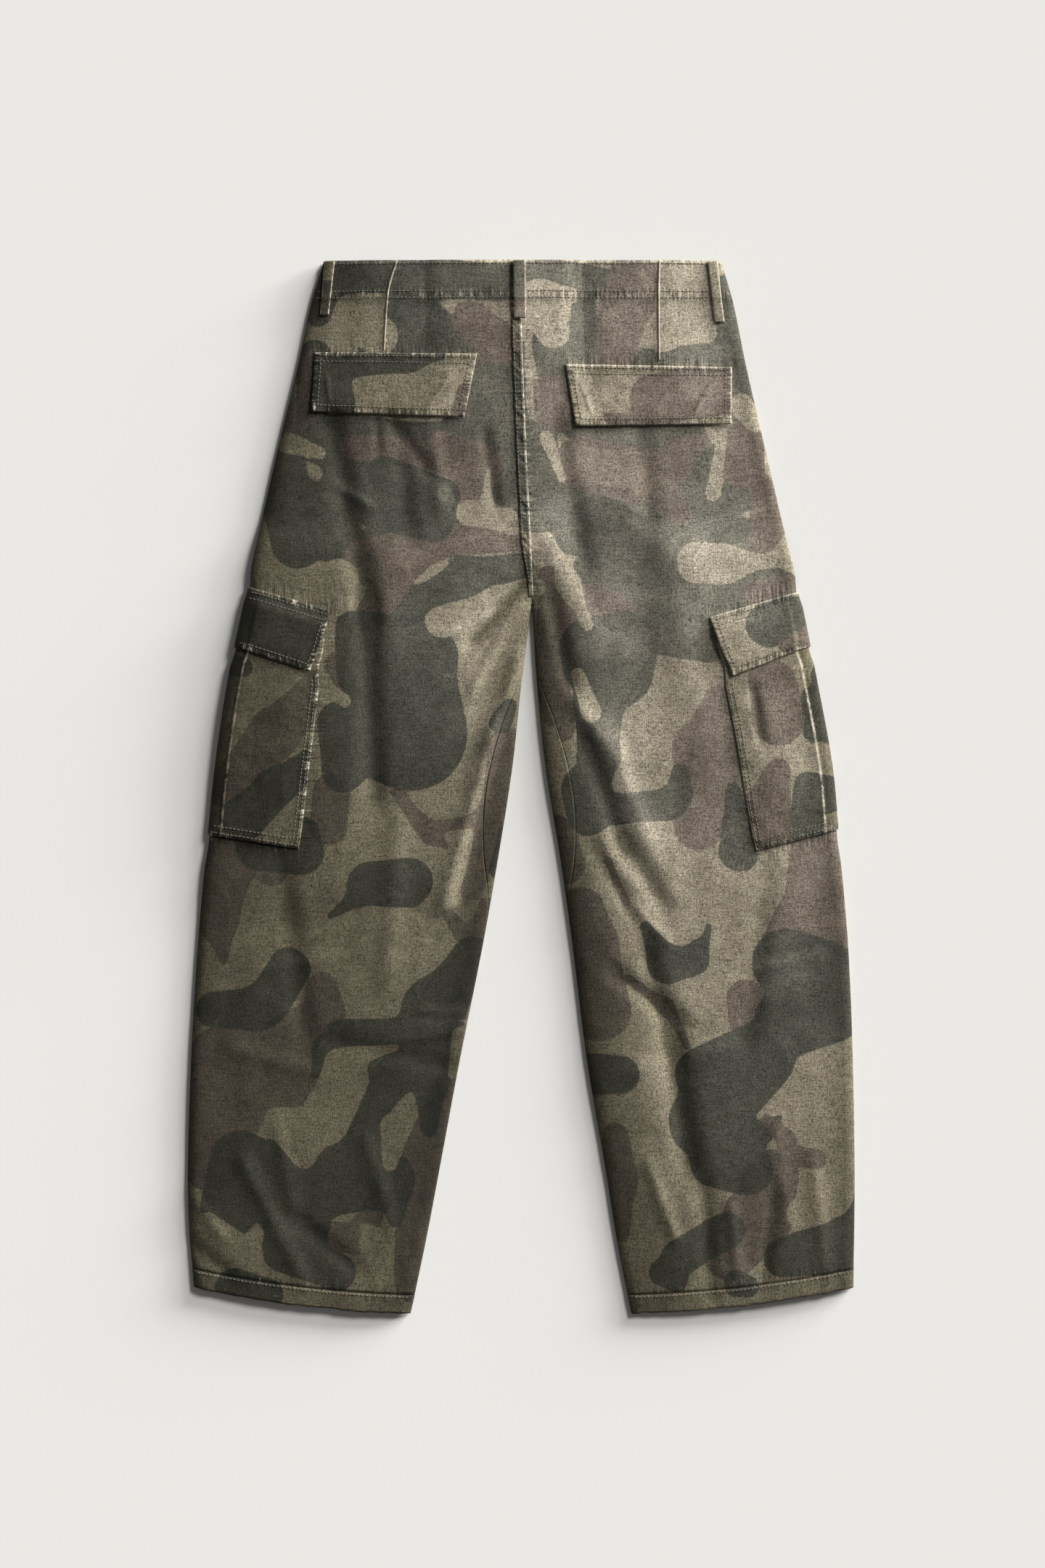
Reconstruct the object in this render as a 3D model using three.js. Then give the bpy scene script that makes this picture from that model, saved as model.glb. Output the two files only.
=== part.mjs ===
// Cargo pants laid flat on a surface, back up: two loose legs, each a back and a front panel with a
// wrapped cargo pocket, a grown-on waist with belt loops, two back pocket flaps and turned hems.
// Millimetres. +X is the wearer's right, +Y points to the waist, +Z up from the surface.
// "down" is the distance below the waist edge. "in" is the distance from a leg's outer edge.
import * as THREE from "three";

// Sizes of the garment
const WAIST_Y = 521.3; // the waist edge, so that the origin is under the middle of the garment
const CROTCH_DOWN = 338; // from the waist edge to the point where the legs part
const LEG_LENGTH = 1016; // from the waist edge to the hem, along the outer edge
const HEM_SLANT = 26; // how much lower the hem is on the inner side of a leg
const HEM_BOW = 5; // how far the middle of the hem hangs below a straight line
const HEM_DEPTH = 18;
const WAISTBAND = 39; // depth of the band that is grown on to the panels
const WALL = 1.6; // heavy washed canvas with its seam allowances
const HEM_WALL = 2.2; // the hem is turned twice
const LAYER_GAP = 0.65; // between a panel and what lies on it
const SEAM_GAP = 0.3; // between two pieces at a seam

// Heights above the surface, where nothing lies under the leg
const SEAM_HEIGHT = 2.9; // where back and front meet at a leg's edge
const CROWN = 6.6; // the back panel over the front one
const CROWN_LEAST = 5.1; // at the bottom of a fold
const BAND_RISE = 0.7; // the waistband has a facing inside
const ROLL_RISE = 0.8; // the cloth rolls a little higher beside its outer edge
const ROLL_WIDTH = 22;
const EDGE_RADIUS = 10; // rounding of the outer edge, measured inwards
const INSEAM_RADIUS = 13; // the same at the inner edge of a leg
const ROUND_INNER = 1.2 * INSEAM_RADIUS; // length of the skin round that edge, down to its level part
const CROTCH_RADIUS = 22; // the inner edge is rounder at the crotch
const DIP_WIDTH = 36; // half width of the hollow above the crotch
const DIP_LENGTH = 70;

// Outline of the two legs: x of each edge at a distance down, with the inner edges from the crotch on
const OUTLINE = [
  { down: 0, leftOuter: -196.0, rightOuter: 198.0 },
  { down: 42, leftOuter: -208.4, rightOuter: 210.2 },
  { down: 100, leftOuter: -220.7, rightOuter: 222.0 },
  { down: 187, leftOuter: -241.6, rightOuter: 242.0 },
  { down: 273, leftOuter: -261.0, rightOuter: 262.0 },
  { down: 338, leftOuter: -275.0, leftInner: 10.4, rightInner: 10.4, rightOuter: 277.6 },
  { down: 417, leftOuter: -291.2, leftInner: 0.4, rightInner: 15.1, rightOuter: 293.2 },
  { down: 503, leftOuter: -304.0, leftInner: -9.0, rightInner: 24.1, rightOuter: 308.7 },
  { down: 590, leftOuter: -312.8, leftInner: -22.7, rightInner: 38.2, rightOuter: 316.2 },
  { down: 676, leftOuter: -320.6, leftInner: -37.8, rightInner: 50.4, rightOuter: 323.8 },
  { down: 791, leftOuter: -327.4, leftInner: -60.8, rightInner: 64.8, rightOuter: 328.6 },
  { down: 907, leftOuter: -330.6, leftInner: -82.4, rightInner: 84.6, rightOuter: 330.4 },
  { down: 964, leftOuter: -328.9, leftInner: -93.2, rightInner: 93.6, rightOuter: 329.9 },
  { down: 1016, leftOuter: -324.4, leftInner: -104.0, rightInner: 103.6, rightOuter: 329.0 },
  { down: 1042, leftOuter: -324.0, leftInner: -109.8, rightInner: 109.1, rightOuter: 329.0 },
];

// The centre back seam drifts to the right on its way down to the crotch
const CENTRE_SEAM = [
  { down: 0, x: -2.4 },
  { down: 58, x: -1.6 },
  { down: 187, x: 3.2 },
  { down: 273, x: 7.6 },
  { down: 338, x: 10.4 },
];

// The inner seam lies on top of the thigh here, so that a strip of the front panel shows beside it
const INSEAM_ON_TOP = { from: 356, to: 690, width: 26 };

// Folds as straight soft ridges (height above zero) and troughs (height below zero)
const FOLDS = [
  { x1: -190, down1: 165, x2: -160, down2: 345, width: 10, height: -1.5 }, // left thigh, outer side
  { x1: -160, down1: 345, x2: -159, down2: 530, width: 10, height: -1.3 },
  { x1: -125, down1: 162, x2: -94, down2: 204, width: 7, height: -1.0 }, // under the left back flap
  { x1: -34, down1: 180, x2: -26, down2: 235, width: 7, height: -1.0 },
  { x1: 2, down1: 314, x2: -62, down2: 386, width: 8, height: -1.5 }, // left crotch
  { x1: -2, down1: 400, x2: -30, down2: 470, width: 9, height: 2.0 }, // left inner thigh
  { x1: -30, down1: 470, x2: -74, down2: 630, width: 9, height: 2.2 },
  { x1: -92, down1: 758, x2: -34, down2: 750, width: 8, height: 1.2 }, // left knee
  { x1: -322, down1: 976, x2: -296, down2: 998, width: 8, height: -0.9 },
  { x1: -214, down1: 955, x2: -172, down2: 990, width: 9, height: -1.0 },
  { x1: 41, down1: 180, x2: 62, down2: 294, width: 10, height: -1.4 }, // right seat
  { x1: 25, down1: 280, x2: 71, down2: 362, width: 9, height: 1.8 },
  { x1: 31, down1: 335, x2: 49, down2: 422, width: 8, height: -1.4 }, // right inner thigh
  { x1: 52, down1: 433, x2: 74, down2: 470, width: 9, height: 1.8 },
  { x1: 66, down1: 477, x2: 100, down2: 577, width: 9, height: -1.5 },
  { x1: 104, down1: 578, x2: 136, down2: 629, width: 9, height: -1.5 },
  { x1: 88, down1: 470, x2: 124, down2: 570, width: 10, height: 1.6 },
  { x1: 75, down1: 587, x2: 108, down2: 641, width: 8, height: -1.1 },
  { x1: 100, down1: 710, x2: 152, down2: 748, width: 9, height: -1.4 }, // right knee
  { x1: 151, down1: 783, x2: 157, down2: 883, width: 10, height: -1.5 }, // right shin
  { x1: 181, down1: 922, x2: 188, down2: 1012, width: 9, height: -1.2 },
];

// A pocket or flap that wraps round the outer edge: its ends on the outer edge and on the panel
const CARGO = {
  left: {
    bag: { outerTop: 352, outerBottom: 568, innerTopX: -189.7, innerTop: 374, innerBottomX: -218.5,
      innerBottom: 582 },
    flap: { outerTop: 323, outerBottom: 383, innerTopX: -182.8, innerTop: 347, innerBottomX: -201.6,
      innerBottom: 407 },
  },
  right: {
    bag: { outerTop: 357, outerBottom: 563, innerTopX: 189.2, innerTop: 378, innerBottomX: 229.8,
      innerBottom: 584 },
    flap: { outerTop: 328, outerBottom: 382, innerTopX: 180.7, innerTop: 353, innerBottomX: 200.9,
      innerBottom: 411 },
  },
};
const BAG_WALL = 1.4;
const BAG_RISE = 1.6; // the pleated face stands this far above its sewn edges
const BAG_SHOULDER = 26; // over this width, from the sewn edge inwards
const PLEAT_HALF = 1.6; // width of the step down into the pleat, which lies on the outer edge
const FLAP_WALL = 1.7;
const FLAP_CLIMB = 0.3; // the share of the flap's depth over which it climbs on to the bag
const EDGE_BLEND = 34; // the panel's edge gives way to the pocket over this length
const REST_MARGIN = 32; // the leg lies level this far beyond what is under it
const LIFT_BLEND = 44; // and settles on the surface over this width
const FLAP_SETTLE = 110;

// Flat quadrilateral pieces on the back: corners from the top left, clockwise
const BACK_FLAPS = {
  left: { x1: -204.1, down1: 90.7, x2: -43.7, down2: 92.9, x3: -56.1, down3: 155.2, x4: -208.2, down4: 149.3 },
  right: { x1: 43.2, down1: 103.0, x2: 208.4, down2: 105.6, x3: 207.7, down3: 161.7, x4: 53.6, down4: 163.9 },
};
const BACK_FLAP_WALL = 1.8;
const BACK_FLAP_LIFT = 1.0; // its free lower edge stands off the panel

const LOOP_WALL = 1.6;
const LOOP_BOW = 0.6; // a belt loop bows out between its sewn ends
const BACK_LOOPS = {
  left: { x1: -193.6, down1: 1, x2: -184.6, down2: 1, x3: -190.6, down3: 54, x4: -199.4, down4: 54 },
  centre: { x1: -8.0, down1: 1, x2: 4.0, down2: 1, x3: 4.6, down3: 58, x4: -7.4, down4: 58 },
  right: { x1: 184.0, down1: 1, x2: 193.4, down2: 1, x3: 201.0, down3: 61, x4: 191.4, down4: 61 },
};
const FRONT_LOOP = { x: 112, halfWidth: 6, top: 1, bottom: 58 };

const FELL = { left: -8.4, right: 1.6, wall: 1.2, top: 1.5, bottom: 332 }; // the felled centre back seam
const FLY = { left: -40, right: 4, top: 2, bottom: 172, wall: 1.6 }; // the fly lap, under the front
const BUTTON = { x: -4, down: 20, radius: 8.5, rim: 2.6, web: 1.7, rimWidth: 2.2, settle: 130 };

// Rows down the garment and columns round a leg
const SEAT_ROWS = 9;
const LEG_ROWS = 19;
const EDGE_STEPS = 3;
const BACK_MIDDLE = 10;
const FRONT_MIDDLE = 9;
const INNER_STEPS = 4;
const INSEAM_STEPS = 5;

const COLOURS = {
  back: 0x6e6a54,
  front: 0x625e4b,
  pocket: 0x55543f,
  flap: 0x5b5747,
  trim: 0x746f5b,
  button: 0x2f2c28,
};

const clamp01 = (value) => Math.min(1, Math.max(0, value));
const mix = (a, b, share) => a + (b - a) * share;
const smooth = (value) => clamp01(value) ** 2 * (3 - 2 * clamp01(value));

// Smooth curve through one column of a table, by cubic pieces with the slopes of their neighbours
function along(rows, column, down) {
  const known = rows.filter((row) => row[column] !== undefined);
  const last = known.length - 1;
  const at = Math.min(Math.max(down, known[0].down), known[last].down);
  let i = 0;
  while (i < last - 1 && at > known[i + 1].down) i += 1;
  const slope = (k) => {
    const before = known[Math.max(k - 1, 0)];
    const after = known[Math.min(k + 1, last)];
    return (after[column] - before[column]) / (after.down - before.down);
  };
  const span = known[i + 1].down - known[i].down;
  const t = (at - known[i].down) / span;
  return (
    known[i][column] * (2 * t ** 3 - 3 * t ** 2 + 1) +
    slope(i) * span * (t ** 3 - 2 * t ** 2 + t) +
    known[i + 1][column] * (3 * t ** 2 - 2 * t ** 3) +
    slope(i + 1) * span * (t ** 3 - t ** 2)
  );
}

const inwardOf = { left: 1, right: -1 };

// Soft range: 1 between two limits, falling to 0 over a margin outside them
const between = (at, from, to, margin) => smooth((at - from) / margin + 1) * smooth((to - at) / margin + 1);

// How thick the pocket is at the outer edge, where the panel gives way to it
function stackAtEdge(leg, down) {
  const { bag, flap } = CARGO[leg];
  const bagStack = LAYER_GAP + BAG_WALL;
  const flapStack = LAYER_GAP + FLAP_WALL;
  const overBag = between(down, bag.outerTop, bag.outerBottom + 4, EDGE_BLEND);
  const overFlap = between(down, flap.outerTop + 10, flap.outerBottom, EDGE_BLEND);
  return Math.max(bagStack * overBag, (bagStack + flapStack) * overFlap);
}

const outerX = (leg, down) => along(OUTLINE, leg + "Outer", down) + inwardOf[leg] * stackAtEdge(leg, down);

const centreX = (down) => along(CENTRE_SEAM, "x", down);

// Inner limit of a leg's panels: the centre seam above the crotch, the leg's inner edge below it
function innerX(leg, down) {
  const edge = down <= CROTCH_DOWN ? centreX(down) : along(OUTLINE, leg + "Inner", down);
  return edge - (inwardOf[leg] * SEAM_GAP) / 2;
}

// How far the leg is raised by what lies between it and the surface: the front half of the pocket
// and its flap, the front belt loops, and the fly lap with the button under it
function lift(leg, x, down) {
  const inFromEdge = Math.abs(x - outerX(leg, down));
  const { bag, flap } = CARGO[leg];
  const bagWidth = Math.abs(bag.innerBottomX - outerX(leg, bag.innerBottom));
  const besideBag = smooth((bagWidth + REST_MARGIN - inFromEdge) / LIFT_BLEND + 1);
  const bagLength = between(down, flap.outerTop - REST_MARGIN, bag.innerBottom + REST_MARGIN, LIFT_BLEND);
  const underFlap = smooth((flap.innerBottom + REST_MARGIN - down) / FLAP_SETTLE + 1);
  const pocket = besideBag * bagLength * (LAYER_GAP + BAG_WALL + (LAYER_GAP + FLAP_WALL) * underFlap);
  const fromLoop = Math.abs(x) - FRONT_LOOP.x;
  const besideLoop = between(fromLoop, -REST_MARGIN, REST_MARGIN, LIFT_BLEND);
  const aboveLoopEnd = smooth((FRONT_LOOP.bottom + REST_MARGIN - down) / LIFT_BLEND + 1);
  const loop = besideLoop * aboveLoopEnd * (LAYER_GAP + LOOP_WALL + LOOP_BOW);
  const fromCentre = x - centreX(down);
  const besideFly = between(fromCentre, FLY.left - REST_MARGIN, FLY.right + REST_MARGIN, LIFT_BLEND);
  const aboveFlyEnd = smooth((FLY.bottom + REST_MARGIN - down) / LIFT_BLEND + 1);
  const overButton = smooth((BUTTON.settle - down) / BUTTON.settle + 0.55);
  const fly = besideFly * aboveFlyEnd * (LAYER_GAP + FLY.wall + (BUTTON.rim + SEAM_GAP) * overButton);
  return Math.max(pocket, loop, fly);
}

// Sum of the soft ridges and troughs at one place
function foldsAt(x, down) {
  let sum = 0;
  for (const f of FOLDS) {
    const dx = f.x2 - f.x1;
    const dd = f.down2 - f.down1;
    const length = Math.hypot(dx, dd);
    const share = ((x - f.x1) * dx + (down - f.down1) * dd) / length ** 2;
    const across = ((x - f.x1) * dd - (down - f.down1) * dx) / length;
    const past = Math.max(0, share - 1, -share) * length;
    sum += f.height * Math.exp(-((across / f.width) ** 2) - (past / (2 * f.width)) ** 2);
  }
  return sum;
}

// Height of the back panel over the surface, before its edges are rounded
function crown(leg, x, down) {
  const inFromEdge = Math.abs(x - outerX(leg, down));
  const roll = ROLL_RISE * Math.exp(-(((inFromEdge - EDGE_RADIUS) / ROLL_WIDTH) ** 2));
  const band = BAND_RISE * smooth((WAISTBAND + 4 - down) / 6);
  const height = CROWN + roll + band + foldsAt(x, down);
  return height > CROWN_LEAST ? height : CROWN_LEAST + (height - CROWN_LEAST) * 0.1;
}

// Point of a leg's skin: face is 1 on the back and -1 on the front, x and down are its place in plan,
// depth is how far inside the outer skin it lies, and a negative depth is how far outside.
// Both edges are quarter ellipses from the seam height. Above the crotch the skins run on to the
// centre seam as two sheets, which come together in a soft hollow towards the crotch.
function skin(leg, face, x, down, depth) {
  const open = down <= CROTCH_DOWN;
  const outward = clamp01(1 - Math.abs(x - outerX(leg, down)) / EDGE_RADIUS);
  const rise = Math.sqrt(1 - outward ** 2);
  const below = smooth((down - CROTCH_DOWN) / 80);
  const radius = open ? DIP_WIDTH : mix(CROTCH_RADIUS, INSEAM_RADIUS, below);
  const towardInner = clamp01(1 - Math.abs(x - innerX(leg, down)) / radius);
  const dip = smooth((down - CROTCH_DOWN + DIP_LENGTH) / DIP_LENGTH);
  const fill = open ? 1 - dip * towardInner ** 2 : Math.sqrt(1 - towardInner ** 2);
  const reach = face > 0 ? crown(leg, x, down) - SEAM_HEIGHT : SEAM_HEIGHT;
  const least = open ? WALL : 0;
  const body = open ? least + (reach - least) * fill - depth : (reach - depth) * fill;
  const part = (SEAM_GAP / 2) * (1 - rise * fill);
  const z = lift(leg, x, down) + SEAM_HEIGHT + face * (body * rise + part);
  const shift = depth * (outward - (open ? 0 : towardInner));
  return [x + inwardOf[leg] * shift, WAIST_Y - down, z];
}

// Closed solid between two skins of one grid: point(i, j, k) with k = 0 outside and k = 1 inside
function wallSolid(rows, columns, point, ring = false) {
  const positions = [];
  for (let k = 0; k < 2; k += 1)
    for (let i = 0; i <= rows; i += 1)
      for (let j = 0; j < columns + (ring ? 0 : 1); j += 1) positions.push(...point(i, j, k));
  const wide = ring ? columns : columns + 1;
  const id = (i, j, k) => (k * (rows + 1) + i) * wide + (j % wide);
  const faces = [];
  const quad = (a, b, c, d) => faces.push(a, b, c, a, c, d);
  for (let i = 0; i < rows; i += 1)
    for (let j = 0; j < columns; j += 1) {
      quad(id(i, j, 0), id(i + 1, j, 0), id(i + 1, j + 1, 0), id(i, j + 1, 0));
      quad(id(i, j, 1), id(i, j + 1, 1), id(i + 1, j + 1, 1), id(i + 1, j, 1));
    }
  for (let j = 0; j < columns; j += 1) {
    quad(id(0, j, 0), id(0, j + 1, 0), id(0, j + 1, 1), id(0, j, 1));
    quad(id(rows, j, 0), id(rows, j, 1), id(rows, j + 1, 1), id(rows, j + 1, 0));
  }
  if (!ring)
    for (let i = 0; i < rows; i += 1) {
      quad(id(i, 0, 0), id(i, 0, 1), id(i + 1, 0, 1), id(i + 1, 0, 0));
      quad(id(i, columns, 0), id(i + 1, columns, 0), id(i + 1, columns, 1), id(i, columns, 1));
    }
  const corner = (n) => new THREE.Vector3().fromArray(positions, 3 * n);
  let volume = 0;
  for (let n = 0; n < faces.length; n += 3)
    volume += corner(faces[n]).dot(corner(faces[n + 1]).cross(corner(faces[n + 2])));
  if (volume < 0) faces.reverse();
  const geometry = new THREE.BufferGeometry();
  geometry.setAttribute("position", new THREE.Float32BufferAttribute(positions, 3));
  geometry.setIndex(faces);
  geometry.computeVertexNormals();
  return geometry;
}

const garment = new THREE.Group();

function sew(name, geometry, colour) {
  const material = new THREE.MeshStandardMaterial({ color: colour, roughness: 0.95, metalness: 0 });
  const mesh = new THREE.Mesh(geometry, material);
  mesh.name = name;
  garment.add(mesh);
}

// Distances down the outer edge at which the panels have a row of points
const PANEL_ROWS = [];
for (let i = 0; i <= SEAT_ROWS; i += 1) PANEL_ROWS.push((CROTCH_DOWN * i) / SEAT_ROWS);
for (let i = 0; i <= LEG_ROWS; i += 1)
  PANEL_ROWS.push(mix(CROTCH_DOWN + 6, LEG_LENGTH - HEM_DEPTH - SEAM_GAP, i / LEG_ROWS));

// A row is level above the knee and turns gradually into the slanted, bowed line of the hem
const hemShare = (row) => smooth((row - 600) / (LEG_LENGTH - 600));
const rowDown = (row, share) => row + hemShare(row) * (HEM_SLANT * share + HEM_BOW * 4 * share * (1 - share));

// Plan point on a row, a distance in from the outer edge as a share of the row's width
function onRow(leg, row, share) {
  const innerEnd = innerX(leg, rowDown(row, row <= CROTCH_DOWN ? 0 : 1));
  return { x: mix(outerX(leg, row), innerEnd, share), down: rowDown(row, share) };
}

const rowWidth = (leg, row) => Math.abs(onRow(leg, row, 1).x - onRow(leg, row, 0).x);

// Distance from the inner edge for a length measured round it, so that steps are close where it is round
function fromInner(row, length) {
  if (row <= CROTCH_DOWN) return Math.abs(length);
  const size = Math.abs(length);
  if (size > ROUND_INNER) return INSEAM_RADIUS + size - ROUND_INNER;
  return INSEAM_RADIUS * (1 - Math.cos((Math.PI / 2) * (size / ROUND_INNER)));
}

// Length round the inner edge at which back and front panel are sewn together: 0 on the edge itself
function inseamAt(row) {
  const { from, to, width } = INSEAM_ON_TOP;
  return row < from || row > to ? 0 : width * Math.sin((Math.PI * (row - from)) / (to - from)) ** 2;
}

// Distances in from the outer edge, over its rounding
const edgeStep = (k) => EDGE_RADIUS * (1 - Math.cos(((Math.PI / 2) * k) / EDGE_STEPS));

// Places of the back panel's columns in one row, in from the outer edge
function backColumns(leg, row) {
  const width = rowWidth(leg, row);
  const seam = inseamAt(row) + (row > CROTCH_DOWN ? SEAM_GAP / 2 : 0);
  const inner = (share) => width - fromInner(row, seam + ROUND_INNER * (1 - share));
  const columns = [];
  for (let k = 0; k <= EDGE_STEPS; k += 1) columns.push(edgeStep(k));
  for (let k = 1; k <= BACK_MIDDLE; k += 1) columns.push(mix(EDGE_RADIUS, inner(0), k / BACK_MIDDLE));
  for (let k = 1; k <= INNER_STEPS; k += 1) columns.push(inner(k / INNER_STEPS));
  return columns.map((inward) => ({ inward, face: 1 }));
}

// Places of the front panel's columns: from the inseam round the inner edge, then to the outer edge
function frontColumns(leg, row) {
  const width = rowWidth(leg, row);
  const seam = row > CROTCH_DOWN ? -Math.max(inseamAt(row) - SEAM_GAP / 2, 0) : 0;
  const columns = [];
  for (let k = 0; k <= INSEAM_STEPS; k += 1) {
    const length = mix(seam, ROUND_INNER, k / INSEAM_STEPS);
    columns.push({ inward: width - fromInner(row, length), face: length < 0 ? 1 : -1 });
  }
  const start = columns[INSEAM_STEPS].inward;
  for (let k = 1; k <= FRONT_MIDDLE; k += 1)
    columns.push({ inward: mix(start, EDGE_RADIUS, k / FRONT_MIDDLE), face: -1 });
  for (let k = EDGE_STEPS - 1; k >= 0; k -= 1) columns.push({ inward: edgeStep(k), face: -1 });
  return columns;
}

const skinAt = (leg, row, { inward, face }, depth) => {
  const place = onRow(leg, row, inward / rowWidth(leg, row));
  return skin(leg, face, place.x, place.down, depth);
};

function panel(leg, columnsOf) {
  const rows = PANEL_ROWS.map((row) => ({ row, columns: columnsOf(leg, row) }));
  return wallSolid(rows.length - 1, rows[0].columns.length - 1, (i, j, k) =>
    skinAt(leg, rows[i].row, rows[i].columns[j], k * WALL),
  );
}

const mixPoints = (p, q, share) => p.map((value, n) => mix(value, q[n], share));

// Two neighbours in a rising list that hold a value between them, and its share of the way
function bracket(list, value) {
  let n = 0;
  while (n < list.length - 2 && value > list[n + 1]) n += 1;
  return { n, share: clamp01((value - list[n]) / (list[n + 1] - list[n])) };
}

// Point over a panel's own facets, moved out: what lies on a panel is made from that panel's points
function over(leg, face, inward, down, outward) {
  const { n, share } = bracket(PANEL_ROWS, down);
  const onOneRow = (row) => {
    const all = face > 0 ? backColumns(leg, row) : frontColumns(leg, row);
    const columns = all.filter((c) => c.face === face).sort((a, b) => a.inward - b.inward);
    const near = bracket(columns.map((c) => c.inward), inward);
    const a = skinAt(leg, row, columns[near.n], -outward);
    return mixPoints(a, skinAt(leg, row, columns[near.n + 1], -outward), near.share);
  };
  return mixPoints(onOneRow(PANEL_ROWS[n]), onOneRow(PANEL_ROWS[n + 1]), share);
}

// Distance in from the faceted outer edge
function inFrom(leg, x, down) {
  const { n, share } = bracket(PANEL_ROWS, down);
  return Math.abs(x - mix(outerX(leg, PANEL_ROWS[n]), outerX(leg, PANEL_ROWS[n + 1]), share));
}

// The hem is a ring: over the back from the outer edge to the inner one, and home along the front
function hem(leg) {
  const half = 2 * EDGE_STEPS + 7;
  return wallSolid(
    1,
    2 * half,
    (i, j, k) => {
      const row = LEG_LENGTH - HEM_DEPTH * (1 - i);
      const width = rowWidth(leg, row);
      const step = j <= half ? j : 2 * half - j;
      let inward;
      if (step <= EDGE_STEPS) inward = edgeStep(step);
      else if (step < half - EDGE_STEPS)
        inward = mix(EDGE_RADIUS, width - INSEAM_RADIUS, (step - EDGE_STEPS) / (half - 2 * EDGE_STEPS));
      else inward = width - (INSEAM_RADIUS / EDGE_RADIUS) * edgeStep(half - step);
      const place = onRow(leg, row, inward / width);
      const p = skin(leg, j > 0 && j < half ? 1 : -1, place.x, place.down, k * HEM_WALL);
      if (j === 0 || j === half) p[2] += SEAM_GAP / 2;
      return p;
    },
    true,
  );
}

// A pocket piece round the outer edge: columns run from its inner end on the back, over the edge, to
// its inner end on the front. rise(inward, width, share down) is how far it stands off the leg.
function wrapped(leg, spec, rows, middle, wall, rise) {
  const half = middle + EDGE_STEPS + 1;
  return wallSolid(rows, 2 * half, (i, j, k) => {
    const t = i / rows;
    const step = Math.abs(j - half);
    const face = j < half ? 1 : -1;
    const outerDown = mix(spec.outerTop, spec.outerBottom, t);
    const innerDown = mix(spec.innerTop, spec.innerBottom, t);
    const edge = outerX(leg, outerDown);
    const width = Math.abs(mix(spec.innerTopX, spec.innerBottomX, t) - edge);
    let inward;
    if (step <= EDGE_STEPS) inward = edgeStep(step);
    else inward = mix(EDGE_RADIUS + PLEAT_HALF, width, (step - EDGE_STEPS - 1) / middle);
    const down = mix(outerDown, innerDown, inward / width);
    const stand = LAYER_GAP + rise(inward, width, t, face);
    const p = over(leg, face, inward, down, stand + (1 - k) * wall);
    if (step === 0) p[2] += SEAM_GAP / 2;
    return p;
  });
}

// The bag's face stands off the back between its sewn edges and steps down into the pleat at the
// outer edge. Under the leg it is pressed flat.
function bagRise(inward, width, t, face) {
  if (inward <= EDGE_RADIUS || face < 0) return 0;
  return BAG_RISE * smooth((width - inward) / BAG_SHOULDER) * (1 - 0.5 * smooth((t - 0.85) / 0.15));
}

// The flap is sewn down along its top and climbs on to the bag
function flapRise(inward, width, t, face) {
  const bagFace = inward <= EDGE_RADIUS || face < 0 ? 0 : BAG_RISE;
  return (BAG_WALL + LAYER_GAP + bagFace) * smooth(t / FLAP_CLIMB);
}

// A flat four-sided piece on the back or the front, made from the panels' skin moved out
function laid(face, quad, rows, columns, wall, rise) {
  return wallSolid(rows, columns, (i, j, k) => {
    const t = i / rows;
    const s = j / columns;
    const x = mix(mix(quad.x1, quad.x2, s), mix(quad.x4, quad.x3, s), t);
    const down = mix(mix(quad.down1, quad.down2, s), mix(quad.down4, quad.down3, s), t);
    const leg = x < centreX(down) ? "left" : "right";
    return over(leg, face, inFrom(leg, x, down), down, LAYER_GAP + rise(t, s) + (1 - k) * wall);
  });
}

const loopBow = (t) => LOOP_BOW * Math.sin(Math.PI * t);

for (const leg of ["left", "right"]) {
  sew("back_panel_" + leg, panel(leg, backColumns), COLOURS.back);
  sew("front_panel_" + leg, panel(leg, frontColumns), COLOURS.front);
  sew("hem_" + leg, hem(leg), COLOURS.trim);
  sew("cargo_bag_" + leg, wrapped(leg, CARGO[leg].bag, 8, 4, BAG_WALL, bagRise), COLOURS.pocket);
  sew("cargo_flap_" + leg, wrapped(leg, CARGO[leg].flap, 5, 4, FLAP_WALL, flapRise), COLOURS.flap);
  const standOff = (t) => BACK_FLAP_LIFT * t;
  sew("back_flap_" + leg, laid(1, BACK_FLAPS[leg], 3, 8, BACK_FLAP_WALL, standOff), COLOURS.flap);
}

for (const [place, quad] of Object.entries(BACK_LOOPS)) {
  const over = place === "centre" ? FELL.wall + LAYER_GAP : 0;
  sew("loop_back_" + place, laid(1, quad, 5, 2, LOOP_WALL, (t) => over + loopBow(t)), COLOURS.trim);
}

for (const leg of ["left", "right"]) {
  const x = -inwardOf[leg] * FRONT_LOOP.x;
  const { halfWidth, top, bottom } = FRONT_LOOP;
  const quad = { x1: x - halfWidth, down1: top, x2: x + halfWidth, down2: top, x3: x + halfWidth,
    down3: bottom, x4: x - halfWidth, down4: bottom };
  sew("loop_front_" + leg, laid(-1, quad, 4, 1, LOOP_WALL, loopBow), COLOURS.trim);
}

// A strip that follows the centre seam, on the back (face 1) or the front (face -1)
function centreStrip(face, strip, rows, columns) {
  return wallSolid(rows, columns, (i, j, k) => {
    const down = mix(strip.top, strip.bottom, i / rows);
    const x = centreX(down) + mix(strip.left, strip.right, j / columns);
    const leg = x < centreX(down) ? "left" : "right";
    return over(leg, face, inFrom(leg, x, down), down, LAYER_GAP + (1 - k) * strip.wall);
  });
}

sew("seat_seam", centreStrip(1, FELL, 18, 2), COLOURS.trim);
sew("fly_lap", centreStrip(-1, FLY, 9, 4), COLOURS.front);

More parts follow.
